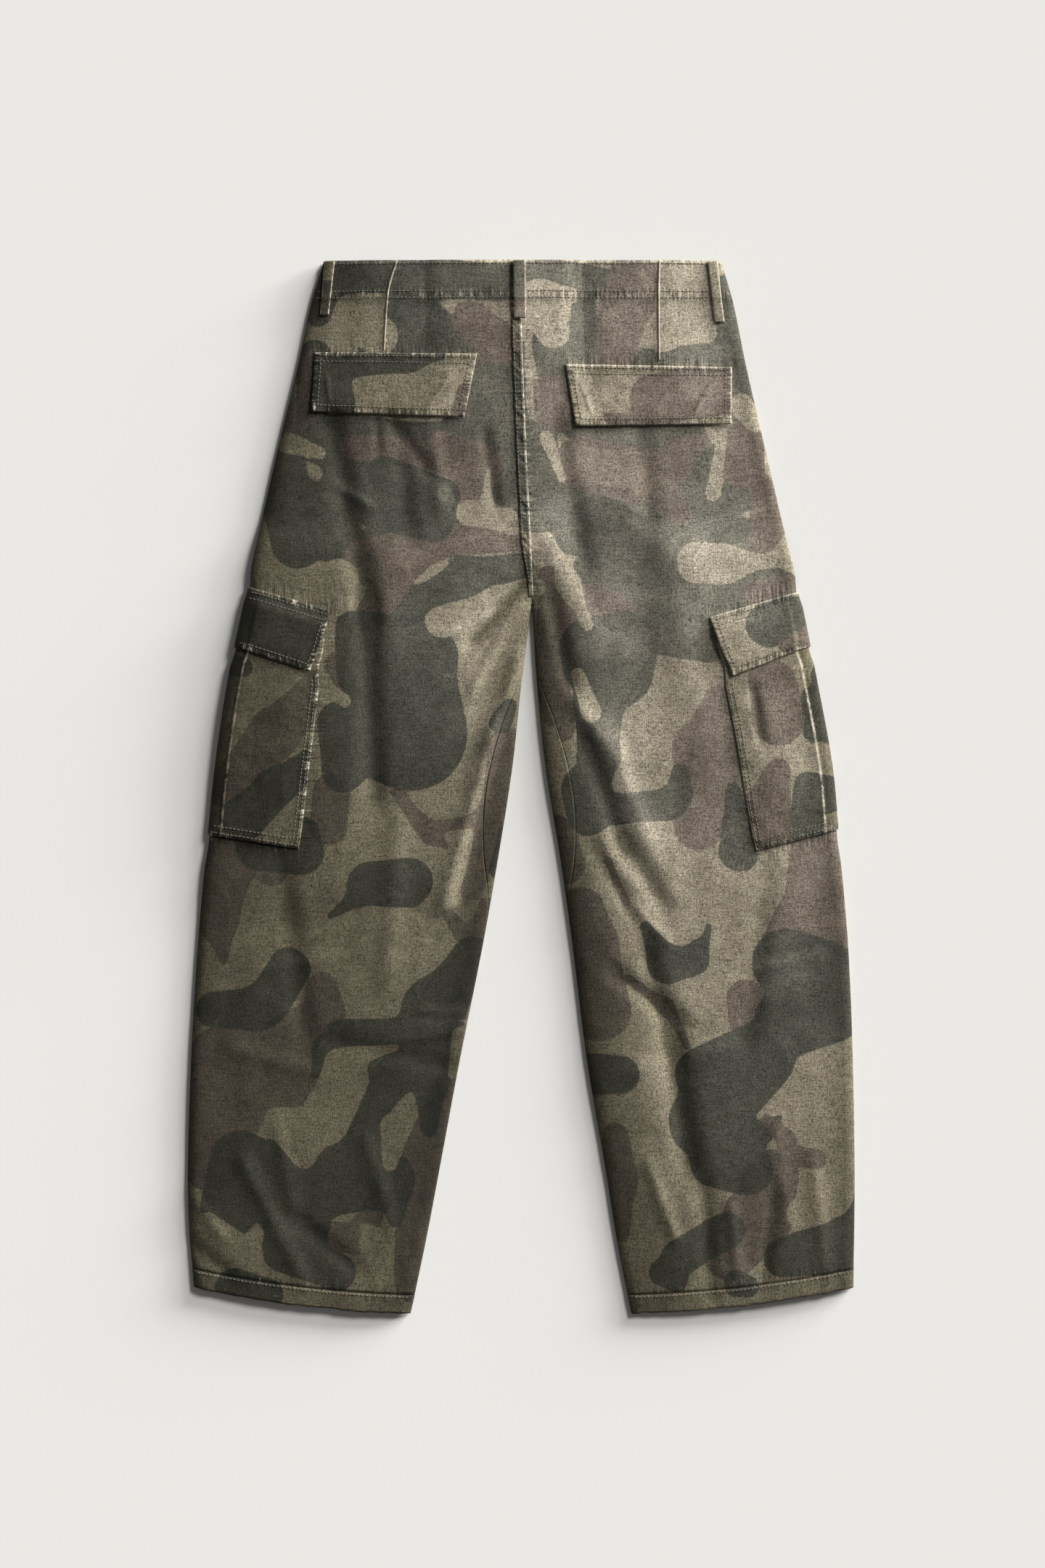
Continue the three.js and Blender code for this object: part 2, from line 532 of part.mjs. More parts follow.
// The waist button: a disc with a raised rim, flat side up under the fly lap
function button() {
  const { radius, rim, web, rimWidth } = BUTTON;
  const profile = [
    [0, rim - web],
    [radius - rimWidth, rim - web],
    [radius - rimWidth * 0.8, 0.2],
    [radius - rimWidth * 0.3, 0],
    [radius, 0.7],
    [radius, rim - 0.3],
    [radius - 0.4, rim],
    [0, rim],
  ].map(([r, h]) => new THREE.Vector2(r, h));
  const disc = new THREE.LatheGeometry(profile, 20);
  disc.rotateX(Math.PI / 2);
  disc.translate(BUTTON.x, WAIST_Y - BUTTON.down, 0);
  return disc;
}

sew("waist_button", button(), COLOURS.button);

export default garment;
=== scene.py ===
# %% [markdown]
# # Cargo pants, laid flat with the back up
#
# A lesson in making flat-laid clothing. Every piece of cloth is a surface worked out with numpy from
# one description of the garment: where its edges run, how high the cloth lies, and where its folds
# are. The pieces are then given a printed, washed canvas and real stitches. Lengths are in
# millimetres until a mesh is made. "Down" is the distance down from the waist.

import bpy
import numpy as np
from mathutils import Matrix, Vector


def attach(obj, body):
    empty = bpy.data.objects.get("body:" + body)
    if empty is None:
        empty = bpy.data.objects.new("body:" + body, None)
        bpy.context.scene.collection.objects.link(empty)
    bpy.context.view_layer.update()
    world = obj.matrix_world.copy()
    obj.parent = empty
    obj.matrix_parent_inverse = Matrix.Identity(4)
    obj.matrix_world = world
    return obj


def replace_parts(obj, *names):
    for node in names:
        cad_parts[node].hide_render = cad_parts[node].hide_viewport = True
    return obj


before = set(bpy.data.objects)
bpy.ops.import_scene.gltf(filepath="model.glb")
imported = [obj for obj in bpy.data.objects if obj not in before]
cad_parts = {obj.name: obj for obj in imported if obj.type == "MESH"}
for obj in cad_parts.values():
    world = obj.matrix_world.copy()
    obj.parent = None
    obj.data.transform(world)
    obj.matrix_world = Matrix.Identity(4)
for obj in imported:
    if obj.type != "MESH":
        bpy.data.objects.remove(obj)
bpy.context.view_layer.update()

# %% [markdown]
# ## The plan of the garment
#
# Seen from above, the garment is two legs that share a centre seam. Their edges could be drawn as
# Bezier curves and filled, but every later piece has to ask where an edge is at any height. So a
# table gives the x of each edge at some distances down, and between its rows the edge is a cubic
# curve. A few rows are enough for the loose, rounded leg.

# %% Sizes in millimetres
MM = 0.001
WAIST_Y = 521.3
CROTCH_DOWN = 338.0
LEG_LENGTH = 1016.0
HEM_SLANT, HEM_BOW, HEM_DEPTH = 26.0, 5.0, 18.0
WAISTBAND = 39.0
WALL, HEM_WALL, LAYER_GAP, SEAM_GAP = 1.6, 2.2, 0.5, 0.3
SEAM_HEIGHT, CROWN, CROWN_LEAST = 2.9, 9.0, 4.9
DOME, DOME_WIDTH = 2.2, 62.0
BAND_RISE, ROLL_RISE, ROLL_WIDTH = 0.7, 0.8, 22.0
EDGE_RADIUS, INSEAM_RADIUS, CROTCH_RADIUS = 10.0, 13.0, 22.0
ROUND_INNER = 1.2 * INSEAM_RADIUS
DIP_WIDTH, DIP_LENGTH = 36.0, 70.0
BAND_EDGE, BAND_BLEND = 4.0, 6.0
DOME_BLEND, CROTCH_BLEND, FLOOR_SHARE = 60.0, 80.0, 0.2
EDGE_BLEND, REST_MARGIN, LIFT_BLEND, FLAP_SETTLE = 34.0, 32.0, 44.0, 110.0
INWARD = {"left": 1.0, "right": -1.0}

OUTER_DOWN = [0, 42, 100, 187, 273, 338, 417, 503, 590, 676, 791, 907, 964, 1016, 1042]
OUTER = {
    "left": [-196, -208.4, -220.7, -241.6, -261, -275, -291.2, -304, -312.8, -320.6, -327.4, -330.6,
             -328.9, -324.4, -324],
    "right": [198, 210.2, 222, 242, 262, 277.6, 293.2, 308.7, 316.2, 323.8, 328.6, 330.4, 329.9, 329, 329],
}
INNER_DOWN = [338, 417, 503, 590, 676, 791, 907, 964, 1016, 1042]
INNER = {
    "left": [10.4, 0.4, -9, -22.7, -37.8, -60.8, -82.4, -93.2, -104, -109.8],
    "right": [10.4, 15.1, 24.1, 38.2, 50.4, 64.8, 84.6, 93.6, 103.6, 109.1],
}
CENTRE_DOWN = [0, 58, 187, 273, 338]
CENTRE = [-2.4, -1.6, 3.2, 7.6, 10.4]


# %% Curves through a table
def mix(a, b, share):
    """Value a share of the way from a to b."""
    return a + (b - a) * share


def smooth(value):
    """0 below 0, 1 above 1, and 3v^2 - 2v^3 between."""
    v = np.clip(value, 0.0, 1.0)
    return v * v * (3.0 - 2.0 * v)


def curve(downs, values, at):
    """Cubic through each pair of rows, with the slope at a row taken from its two neighbours."""
    d, v = np.asarray(downs, float), np.asarray(values, float)
    at = np.clip(at, d[0], d[-1])
    i = np.clip(np.searchsorted(d, at, side="left") - 1, 0, len(d) - 2)
    before, after = np.maximum(np.arange(len(d)) - 1, 0), np.minimum(np.arange(len(d)) + 1, len(d) - 1)
    slope = (v[after] - v[before]) / (d[after] - d[before])
    span = d[i + 1] - d[i]
    t = (at - d[i]) / span
    start = v[i] * (2 * t**3 - 3 * t**2 + 1) + slope[i] * span * (t**3 - 2 * t**2 + t)
    return start + v[i + 1] * (3 * t**2 - 2 * t**3) + slope[i + 1] * span * (t**3 - t**2)


def between(at, low, high, margin):
    """1 between two limits, falling softly to 0 over a margin outside them."""
    return smooth((at - low) / margin + 1) * smooth((high - at) / margin + 1)


print("leg edge at the knee:", curve(OUTER_DOWN, OUTER["left"], 700.0))

# %% [markdown]
# ## What lies under and round the leg
#
# The cargo pocket wraps round the leg's outer edge, so the leg gives way to it there and lies on its
# front half. The belt loops of the front, the fly lap and the button raise the cloth a little too.
# A cloth simulation could find these heights. Here each is a soft plateau round the piece beneath,
# because then the gap between two layers is known at every point.

# %% Pocket sizes and the room that they take
CARGO = {
    "left": {
        "bag": dict(outer_top=352, outer_bottom=568, inner_top_x=-189.7, inner_top=374,
                    inner_bottom_x=-218.5, inner_bottom=582),
        "flap": dict(outer_top=323, outer_bottom=383, inner_top_x=-182.8, inner_top=347,
                     inner_bottom_x=-201.6, inner_bottom=407),
    },
    "right": {
        "bag": dict(outer_top=357, outer_bottom=563, inner_top_x=189.2, inner_top=378,
                    inner_bottom_x=229.8, inner_bottom=584),
        "flap": dict(outer_top=328, outer_bottom=382, inner_top_x=180.7, inner_top=353,
                     inner_bottom_x=200.9, inner_bottom=411),
    },
}
BAG_WALL, BAG_RISE, BAG_SHOULDER, PLEAT_STEP = 1.4, 1.6, 26.0, 1.6
FLAP_WALL, FLAP_CLIMB = 1.7, 0.3
BAG_OVERHANG, FLAP_SEAM = 4.0, 10.0
FRONT_LOOP = dict(x=112.0, half=6.0, top=1.0, bottom=58.0)
LOOP_WALL, LOOP_BOW = 1.6, 0.6
FLY = dict(left=-40.0, right=4.0, top=2.0, bottom=172.0, wall=1.6)
FELL = dict(left=-8.4, right=1.6, top=1.5, bottom=332.0, wall=1.2)
BUTTON = dict(rim=2.6, settle=130.0, hold=0.55)


def outer_x(leg, down):
    """The leg's outer edge, moved in by the thickness of the pocket that wraps round it."""
    bag, flap = CARGO[leg]["bag"], CARGO[leg]["flap"]
    over_bag = between(down, bag["outer_top"], bag["outer_bottom"] + BAG_OVERHANG, EDGE_BLEND)
    over_flap = between(down, flap["outer_top"] + FLAP_SEAM, flap["outer_bottom"], EDGE_BLEND)
    bag_stack = LAYER_GAP + BAG_WALL
    stack = np.maximum(bag_stack * over_bag, (bag_stack + LAYER_GAP + FLAP_WALL) * over_flap)
    return curve(OUTER_DOWN, OUTER[leg], down) + INWARD[leg] * stack


def centre_x(down):
    """The centre seam drifts to the wearer's right on its way to the crotch."""
    return curve(CENTRE_DOWN, CENTRE, down)


def inner_x(leg, down):
    """The centre seam above the crotch, and the leg's own inner edge below it."""
    below = curve(INNER_DOWN, INNER[leg], down)
    return np.where(down <= CROTCH_DOWN, centre_x(down), below) - INWARD[leg] * SEAM_GAP / 2


def lift(leg, x, down):
    """How far the leg is raised: the largest of the pocket's, the loops' and the fly's own heights."""
    in_from_edge = np.abs(x - outer_x(leg, down))
    bag, flap = CARGO[leg]["bag"], CARGO[leg]["flap"]
    bag_width = abs(bag["inner_bottom_x"] - outer_x(leg, bag["inner_bottom"]))
    beside = smooth((bag_width + REST_MARGIN - in_from_edge) / LIFT_BLEND + 1)
    length = between(down, flap["outer_top"] - REST_MARGIN, bag["inner_bottom"] + REST_MARGIN, LIFT_BLEND)
    under_flap = smooth((flap["inner_bottom"] + REST_MARGIN - down) / FLAP_SETTLE + 1)
    pocket = beside * length * (LAYER_GAP + BAG_WALL + (LAYER_GAP + FLAP_WALL) * under_flap)
    beside_loop = between(np.abs(x) - FRONT_LOOP["x"], -REST_MARGIN, REST_MARGIN, LIFT_BLEND)
    above_loop_end = smooth((FRONT_LOOP["bottom"] + REST_MARGIN - down) / LIFT_BLEND + 1)
    loop = beside_loop * above_loop_end * (LAYER_GAP + LOOP_WALL + LOOP_BOW)
    from_centre = x - centre_x(down)
    beside_fly = between(from_centre, FLY["left"] - REST_MARGIN, FLY["right"] + REST_MARGIN, LIFT_BLEND)
    above_fly_end = smooth((FLY["bottom"] + REST_MARGIN - down) / LIFT_BLEND + 1)
    over_button = smooth((BUTTON["settle"] - down) / BUTTON["settle"] + BUTTON["hold"])
    fly = beside_fly * above_fly_end * (LAYER_GAP + FLY["wall"] + (BUTTON["rim"] + SEAM_GAP) * over_button)
    return np.maximum(np.maximum(pocket, loop), fly)


print("lift under the left pocket:", float(lift("left", np.array(-250.0), np.array(370.0))))

# %% [markdown]
# ## Folds, creases and puckers
#
# Folds could come from a cloth simulation, but this garment was laid out and smoothed by hand, so
# its soft folds are placed one by one. Each is a straight piece with a bell-shaped section.
# Puckers are the short ripples beside a row of stitches. They are too fine for the mesh, so each
# point stores only how strong they are, and the material draws them: one field for seams that run
# across the garment and one for seams that run down it.

# %% Tables of folds
FOLD_STRENGTH = 2.1
# Each fold: x1, down1, x2, down2, width, height
FOLDS = np.array([
    # left leg: outer side, under the flap, crotch, inner thigh, knee, hem
    (-186, 165, -152, 345, 11, -1.6), (-152, 345, -146, 520, 12, -2.0), (-125, 162, -94, 204, 7, -1.0),
    (-34, 180, -26, 235, 7, -1.0), (4, 318, -46, 374, 6, -2.2), (-2, 400, -30, 470, 9, 2.0),
    (-30, 470, -74, 630, 9, 2.2), (-92, 758, -34, 750, 8, 1.2), (-322, 976, -296, 998, 8, -0.9),
    (-214, 955, -172, 990, 9, -1.0),
    # right leg: seat, inner thigh, knee, shin
    (41, 180, 62, 294, 10, -0.8), (25, 280, 71, 362, 9, 0.5), (31, 335, 49, 422, 8, -1.4),
    (52, 433, 74, 470, 9, 1.3), (66, 477, 100, 577, 9, -1.5), (104, 578, 136, 629, 9, -1.5),
    (88, 470, 124, 570, 10, 0.9), (75, 587, 108, 641, 8, -1.1), (100, 710, 152, 748, 9, -1.4),
    (126, 690, 150, 783, 10, -1.5), (150, 783, 166, 890, 12, -2.0), (181, 922, 188, 1012, 9, -1.2),
    # short creases that only show close by
    (-142, 158, -142, 184, 5, -0.7), (-176, 226, -154, 240, 5, 0.8), (-60, 640, -84, 668, 5, -0.9),
    (-96, 742, -40, 744, 4, 0.8), (-110, 770, -58, 762, 4, 0.7), (-250, 700, -190, 690, 6, 0.5),
    (-20, 372, -46, 420, 6, 0.9), (-36, 352, -74, 372, 6, 0.8), (112, 640, 140, 668, 6, 0.8),
    (230, 430, 236, 470, 5, -0.8), (236, 700, 290, 690, 6, 0.5), (128, 900, 150, 960, 7, 0.9),
    (208, 940, 214, 1000, 7, 0.8), (-300, 960, -322, 930, 7, 0.6), (-150, 880, -130, 950, 9, 0.7),
    (-240, 860, -226, 930, 9, 0.6), (252, 860, 262, 940, 10, 0.6),
    (-120, 170, -112, 260, 10, -0.9), (-88, 165, -80, 240, 9, 0.8), (120, 172, 128, 250, 10, -0.8),
    (-236, 610, -214, 760, 12, -1.0), (-120, 560, -132, 700, 12, 0.9), (240, 620, 226, 760, 12, -0.9),
    (-182, 772, -60, 800, 9, -0.7), (120, 800, 190, 780, 9, 0.7), (-280, 780, -210, 800, 9, 0.6),
    (-270, 900, -220, 1000, 9, 0.9), (250, 930, 240, 1005, 8, -0.9), (290, 900, 300, 990, 9, 0.8),
    (-110, 300, -66, 282, 9, 0.6), (-226, 250, -196, 236, 7, 0.6),
], float)

# Each puckered seam: x1, down1, x2, down2, reach, strength
SEAMS = np.array([
    (-330, 1000, -110, 1026, 8, 0.5), (104, 1026, 330, 1000, 8, 0.5),
    (-206, 34, 208, 34, 5.5, 1.0), (-200, 2, 200, 2, 5, 0.7),
    (-5, 60, 3, 187, 12, 0.7), (3, 187, 10, 334, 12, 0.7),
    (-123, 1, -132, 30, 5, 0.5), (-132, 30, -136, 89, 6, 0.4), (136, 1, 136, 99, 6, 0.4),
    (-206, 88, -44, 90, 7, 0.6), (42, 100, 210, 103, 7, 0.6),
    (-276, 318, -181, 343, 8, 0.7), (179, 349, 278, 323, 8, 0.7),
    (-187, 364, -216, 584, 8, 0.5), (187, 368, 229, 586, 8, 0.5),
    (-312, 570, -218, 586, 8, 0.6), (229, 588, 316, 566, 8, 0.6),
], float)
print(len(FOLDS), "folds,", len(SEAMS), "puckered seams")


# %% Functions for folds, noise and puckers
PUCKER_END = 6.0
LATTICE_LAYERS, LATTICE_SIZE, LATTICE_START = 8, 97, 1000.5
LATTICE = np.random.default_rng(11).random((LATTICE_LAYERS, LATTICE_SIZE, LATTICE_SIZE)) * 2 - 1


def along_line(line, x, down):
    """Share of the way along a line x1, down1, x2, down2, the distance across it, and its length."""
    x1, down1, x2, down2 = line
    dx, dd = x2 - x1, down2 - down1
    length = np.hypot(dx, dd)
    share = ((x - x1) * dx + (down - down1) * dd) / length**2
    across = ((x - x1) * dd - (down - down1) * dx) / length
    return share, across, length


def past_ends(share, length):
    """Distance past either end of a line, and 0 beside it."""
    return np.maximum(0.0, np.maximum(share - 1, -share)) * length


def folds_at(x, down):
    """Sum over the folds of height * exp(-(across/width)^2 - (past the end / 2 width)^2)."""
    total = np.zeros(np.broadcast(x, down).shape)
    for *line, width, height in FOLDS:
        share, across, length = along_line(line, x, down)
        total += height * np.exp(-((across / width) ** 2) - (past_ends(share, length) / (2 * width)) ** 2)
    return FOLD_STRENGTH * total


def noise(x, y, size, layer=0):
    """Value noise from -1 to 1: a seeded lattice of random heights, blended softly between them."""
    u, v = np.asarray(x, float) / size + LATTICE_START, np.asarray(y, float) / size + LATTICE_START
    i, j = np.floor(u).astype(int), np.floor(v).astype(int)
    a, b = smooth(u - i), smooth(v - j)
    table = LATTICE[layer]
    here_i, here_j, next_i, next_j = (n % LATTICE_SIZE for n in (i, j, i + 1, j + 1))
    top = mix(table[here_i, here_j], table[next_i, here_j], a)
    bottom = mix(table[here_i, next_j], table[next_i, next_j], a)
    return mix(top, bottom, b)


def puckers_at(x, down):
    """Strength of the ripples beside each seam, exp(-(across/reach)^2), for both ways a seam can run."""
    fields = {key: np.zeros(np.broadcast(x, down).shape) for key in ("pucker_across", "pucker_down")}
    for x1, down1, x2, down2, reach, strength in SEAMS:
        share, across, length = along_line((x1, down1, x2, down2), x, down)
        ends = smooth(share * length / PUCKER_END + 1) * smooth((1 - share) * length / PUCKER_END + 1)
        key = "pucker_across" if abs(x2 - x1) > abs(down2 - down1) else "pucker_down"
        fields[key] = np.maximum(fields[key], strength * np.exp(-((across / reach) ** 2)) * ends)
    return fields


def crumple(x, down):
    """The slight unevenness of worn cloth: three sizes of noise, the largest stretched down the leg,
    and thin slubs that run across it."""
    large = 0.8 * noise(x, down * 0.6, 46, 1)
    middle = 0.44 * noise(x + down * 0.3, down * 0.8, 19, 2)
    small = 0.14 * noise(x, down, 7, 3)
    slubs = 0.05 * noise(x * 0.25, down, 3.2, 5)
    return large + middle + small + slubs


print("crumple spread:", float(np.std(crumple(*np.meshgrid(np.arange(300.0), np.arange(300.0))))))

# %% [markdown]
# ## The skin of a leg
#
# Each leg is a flattened tube. It could be a modelled box pushed into shape, but then each seam would
# have to be fitted to it. Instead one function gives any point of its skin from its place in plan,
# the face (1 on the back, -1 on the front) and a depth below the outer skin. Panels, hems, pockets
# and stitches are all made from it, so they follow each other.


# %% Heights of the back, and the skin
def crown(leg, x, down):
    """Height of the back over the surface before its edges are rounded. Below the least height a
    trough is only a fifth as deep."""
    in_from_edge = np.abs(x - outer_x(leg, down))
    roll = ROLL_RISE * np.exp(-(((in_from_edge - EDGE_RADIUS) / ROLL_WIDTH) ** 2))
    band = BAND_RISE * smooth((WAISTBAND + BAND_EDGE - down) / BAND_BLEND)
    in_from_inner = np.where(down > CROTCH_DOWN, np.abs(x - inner_x(leg, down)), DOME_WIDTH)
    below = smooth((down - CROTCH_DOWN) / DOME_BLEND)
    nearest = np.minimum(in_from_edge, mix(DOME_WIDTH, in_from_inner, below))
    dome = DOME * (smooth(nearest / DOME_WIDTH) - 1)
    height = CROWN + dome + roll + band + folds_at(x, down) + crumple(x, down)
    return np.where(height > CROWN_LEAST, height, CROWN_LEAST + (height - CROWN_LEAST) * FLOOR_SHARE)


def skin(leg, face, x, down, depth):
    """Point of the skin. Both edges are quarter ellipses from the seam height to the crown or to the
    surface. Above the crotch the two sheets run on to the centre seam and come together in a hollow."""
    x, down, depth = np.broadcast_arrays(np.asarray(x, float), np.asarray(down, float), depth)
    is_open = down <= CROTCH_DOWN
    outward = np.clip(1 - np.abs(x - outer_x(leg, down)) / EDGE_RADIUS, 0, 1)
    rise = np.sqrt(1 - outward**2)
    below = smooth((down - CROTCH_DOWN) / CROTCH_BLEND)
    radius = np.where(is_open, DIP_WIDTH, mix(CROTCH_RADIUS, INSEAM_RADIUS, below))
    toward_inner = np.clip(1 - np.abs(x - inner_x(leg, down)) / radius, 0, 1)
    dip = smooth((down - CROTCH_DOWN + DIP_LENGTH) / DIP_LENGTH)
    fill = np.where(is_open, 1 - dip * toward_inner**2, np.sqrt(1 - toward_inner**2))
    reach = np.where(np.asarray(face) > 0, crown(leg, x, down) - SEAM_HEIGHT, SEAM_HEIGHT)
    least = np.where(is_open, WALL, 0.0)
    body = np.where(is_open, least + (reach - least) * fill - depth, (reach - depth) * fill)
    part = SEAM_GAP / 2 * (1 - rise * fill)
    z = lift(leg, x, down) + SEAM_HEIGHT + face * (body * rise + part)
    shift = depth * (outward - np.where(is_open, 0.0, toward_inner))
    return np.stack([x + INWARD[leg] * shift, WAIST_Y - down, z], axis=-1)


print("crown of the left thigh:", skin("left", 1, -150.0, 450.0, 0.0))

# %% [markdown]
# ## From a grid of points to a closed piece of cloth
#
# Cloth has two faces and a cut edge. A plain sheet with a Solidify modifier would give that too, but
# here the two faces differ where the skin turns. So a piece is two grids of points, its outer and its
# inner skin, joined round the border. Working on whole arrays keeps this quick, and the result is one
# closed shell with real thickness.


# %% Mesh makers
PIECES = {}


def grid_faces(rows, columns, ring):
    """Quads of the outer skin, the inner skin and the border of a grid of rows x columns points."""
    wide = columns if ring else columns - 1
    i, j = np.meshgrid(np.arange(rows - 1), np.arange(wide), indexing="ij")
    i, j = i.ravel(), j.ravel()
    right = (j + 1) % columns
    inner = rows * columns
    outside = np.stack([i * columns + j, (i + 1) * columns + j, (i + 1) * columns + right,
                        i * columns + right], axis=1)
    inside = outside[:, ::-1] + inner
    k = np.arange(wide)
    after = (k + 1) % columns
    last = (rows - 1) * columns
    ends = [np.stack([k, after, after + inner, k + inner], 1),
            np.stack([last + k, last + k + inner, last + after + inner, last + after], 1)]
    if not ring:
        m = np.arange(rows - 1) * columns
        c = columns - 1
        ends.append(np.stack([m, m + inner, m + columns + inner, m + columns], 1))
        ends.append(np.stack([m + c, m + c + columns, m + c + columns + inner, m + c + inner], 1))
    return np.concatenate([outside, inside] + ends)


def volume_sign(points, quads):
    """Sign of the volume that the quads enclose, from the sum of their signed tetrahedra."""
    a, b, c, d = (points[quads[:, n]] for n in range(4))
    six = np.einsum("ij,ij->i", a, np.cross(b, c)) + np.einsum("ij,ij->i", a, np.cross(c, d))
    return np.sign(six.sum())


def mesh_object(name, points, quads, fields=None):
    """Object of a closed quad mesh, in metres, with its float attributes and smooth shading."""
    if volume_sign(points, quads) < 0:
        quads = quads[:, ::-1]
    mesh = bpy.data.meshes.new(name)
    mesh.vertices.add(len(points))
    mesh.vertices.foreach_set("co", (points * MM).astype(np.float32).ravel())
    mesh.loops.add(quads.size)
    mesh.loops.foreach_set("vertex_index", quads.astype(np.int32).ravel())
    mesh.polygons.add(len(quads))
    mesh.polygons.foreach_set("loop_start", np.arange(len(quads), dtype=np.int32) * 4)
    mesh.update(calc_edges=True)
    mesh.polygons.foreach_set("use_smooth", np.ones(len(quads), dtype=bool))
    for field, values in (fields or {}).items():
        stored = mesh.attributes.new(field, "FLOAT", "POINT").data
        stored.foreach_set("value", values.astype(np.float32).ravel())
    mesh.validate()
    piece = bpy.data.objects.new(name, mesh)
    bpy.context.scene.collection.objects.link(piece)
    PIECES[name] = piece
    return piece


def cloth(name, outside, inside, fields, ring=False):
    """Closed shell from an outer and an inner grid of points, each rows x columns x 3."""
    rows, columns = outside.shape[:2]
    points = np.concatenate([outside.reshape(-1, 3), inside.reshape(-1, 3)])
    both = {key: np.concatenate([value.ravel(), value.ravel()]) for key, value in fields.items()}
    piece = mesh_object(name, points, grid_faces(rows, columns, ring), both)
    print(name, rows, "x", columns, "points")
    return piece


# %% [markdown]
# ## The camouflage print
#
# The print is a common camouflage in brown and green on khaki. It could be a painted picture, but the
# blobs are simple: rounded unions of tapered strokes, charted on a grid whose step is about
# three quarters of a millimetre. The colours are laid over each other in order, as a printer does it,
# and where two dark inks overlap the cloth is darker still. Each point stores how far inside each ink
# it lies. The material turns that distance into a crisp edge, which stays sharp between the points.

# %% The chart of the print
CHART_STEP = 0.7776
CHART_X, CHART_DOWN = -517.3, -259.9
# Each stroke: x1, y1, x2, y2, radius1, radius2, in steps of the chart
SEAT_GREEN = [
    (430, 352, 560, 356, 24, 24), (560, 358, 680, 362, 26, 22), (515, 400, 575, 440, 26, 30),
    (420, 345, 405, 400, 18, 16), (560, 470, 620, 500, 40, 40), (636, 446, 641, 650, 30, 28),
    (440, 555, 560, 570, 26, 32), (360, 600, 380, 690, 30, 34), (440, 625, 570, 680, 30, 32),
    (660, 560, 680, 660, 22, 22), (690, 352, 780, 362, 18, 18), (745, 395, 740, 470, 15, 18),
    (780, 480, 930, 470, 30, 34), (930, 372, 955, 520, 24, 28), (740, 545, 880, 562, 22, 24),
    (900, 590, 880, 660, 20, 26), (760, 660, 860, 690, 40, 44), (890, 640, 960, 630, 26, 22),
    (690, 560, 700, 620, 16, 20), (860, 690, 1000, 760, 34, 30), (760, 740, 930, 770, 36, 38),
    (930, 780, 985, 830, 30, 24), (480, 690, 520, 780, 14, 20), (705, 440, 720, 520, 28, 28),
    (750, 450, 765, 540, 28, 28), (800, 480, 860, 530, 38, 36), (490, 445, 600, 450, 34, 36),
    (400, 455, 398, 530, 22, 20), (395, 560, 470, 600, 24, 26), (395, 650, 440, 700, 32, 28),
    (590, 545, 625, 560, 22, 22), (705, 625, 725, 692, 26, 16), (540, 768, 600, 738, 22, 24),
    (600, 738, 664, 722, 24, 16), (852, 800, 902, 816, 38, 30), (620, 500, 650, 560, 30, 24),
    (880, 590, 930, 600, 24, 20), (905, 680, 955, 684, 20, 18),
]
BROWN = [
    (600, 412, 632, 440, 26, 28), (366, 540, 400, 520, 22, 16), (402, 460, 397, 500, 16, 16),
    (450, 572, 560, 575, 15, 22), (560, 582, 606, 600, 30, 32), (606, 610, 597, 632, 22, 18),
    (465, 715, 510, 712, 28, 30), (510, 712, 560, 690, 26, 20), (560, 690, 660, 694, 20, 10),
    (697, 735, 708, 835, 12, 20), (500, 745, 470, 790, 22, 20),
    (806, 353, 800, 390, 30, 32), (790, 408, 785, 452, 28, 26), (699, 500, 702, 532, 20, 22),
    (740, 592, 806, 608, 34, 36), (806, 610, 862, 595, 30, 22), (862, 580, 895, 565, 18, 12),
    (850, 640, 866, 655, 20, 18), (949, 562, 946, 600, 24, 26), (982, 640, 976, 700, 26, 24),
    (1010, 760, 1030, 772, 16, 18), (755, 760, 792, 785, 18, 22), (722, 790, 732, 806, 14, 12),
    (428, 850, 447, 884, 14, 14), (425, 1012, 420, 1052, 24, 24), (345, 1100, 350, 1112, 28, 20),
    (290, 1085, 280, 1170, 44, 26), (282, 1170, 286, 1222, 20, 5),
    (506, 1010, 545, 1062, 7, 10), (552, 1055, 604, 1046, 6, 6),
    (552, 1068, 567, 1078, 5, 2), (650, 955, 640, 1040, 26, 30), (636, 1050, 598, 1135, 28, 12),
    (572, 1165, 592, 1195, 6, 9), (622, 1160, 612, 1190, 12, 14),
    (408, 1262, 415, 1292, 20, 22), (285, 1350, 370, 1370, 44, 42), (370, 1322, 402, 1300, 34, 24),
    (290, 1395, 270, 1480, 56, 40), (570, 1390, 545, 1480, 20, 34), (530, 1480, 540, 1630, 30, 34),
    (415, 1575, 470, 1582, 18, 18), (480, 1530, 465, 1560, 14, 14),
    (915, 890, 905, 950, 16, 34), (902, 960, 893, 1050, 44, 34), (700, 840, 712, 930, 22, 18),
    (714, 1060, 724, 1105, 18, 20), (775, 1100, 800, 1155, 4, 4), (742, 1165, 752, 1205, 30, 34),
    (750, 1215, 765, 1290, 38, 38), (1045, 1085, 1035, 1170, 36, 38), (1010, 1175, 990, 1200, 26, 20),
    (952, 1275, 955, 1304, 26, 24), (785, 1448, 790, 1500, 16, 22), (790, 1520, 792, 1572, 16, 9),
    (985, 1500, 970, 1545, 34, 40), (960, 1560, 930, 1598, 40, 34), (1060, 1180, 1085, 1215, 20, 16),
]
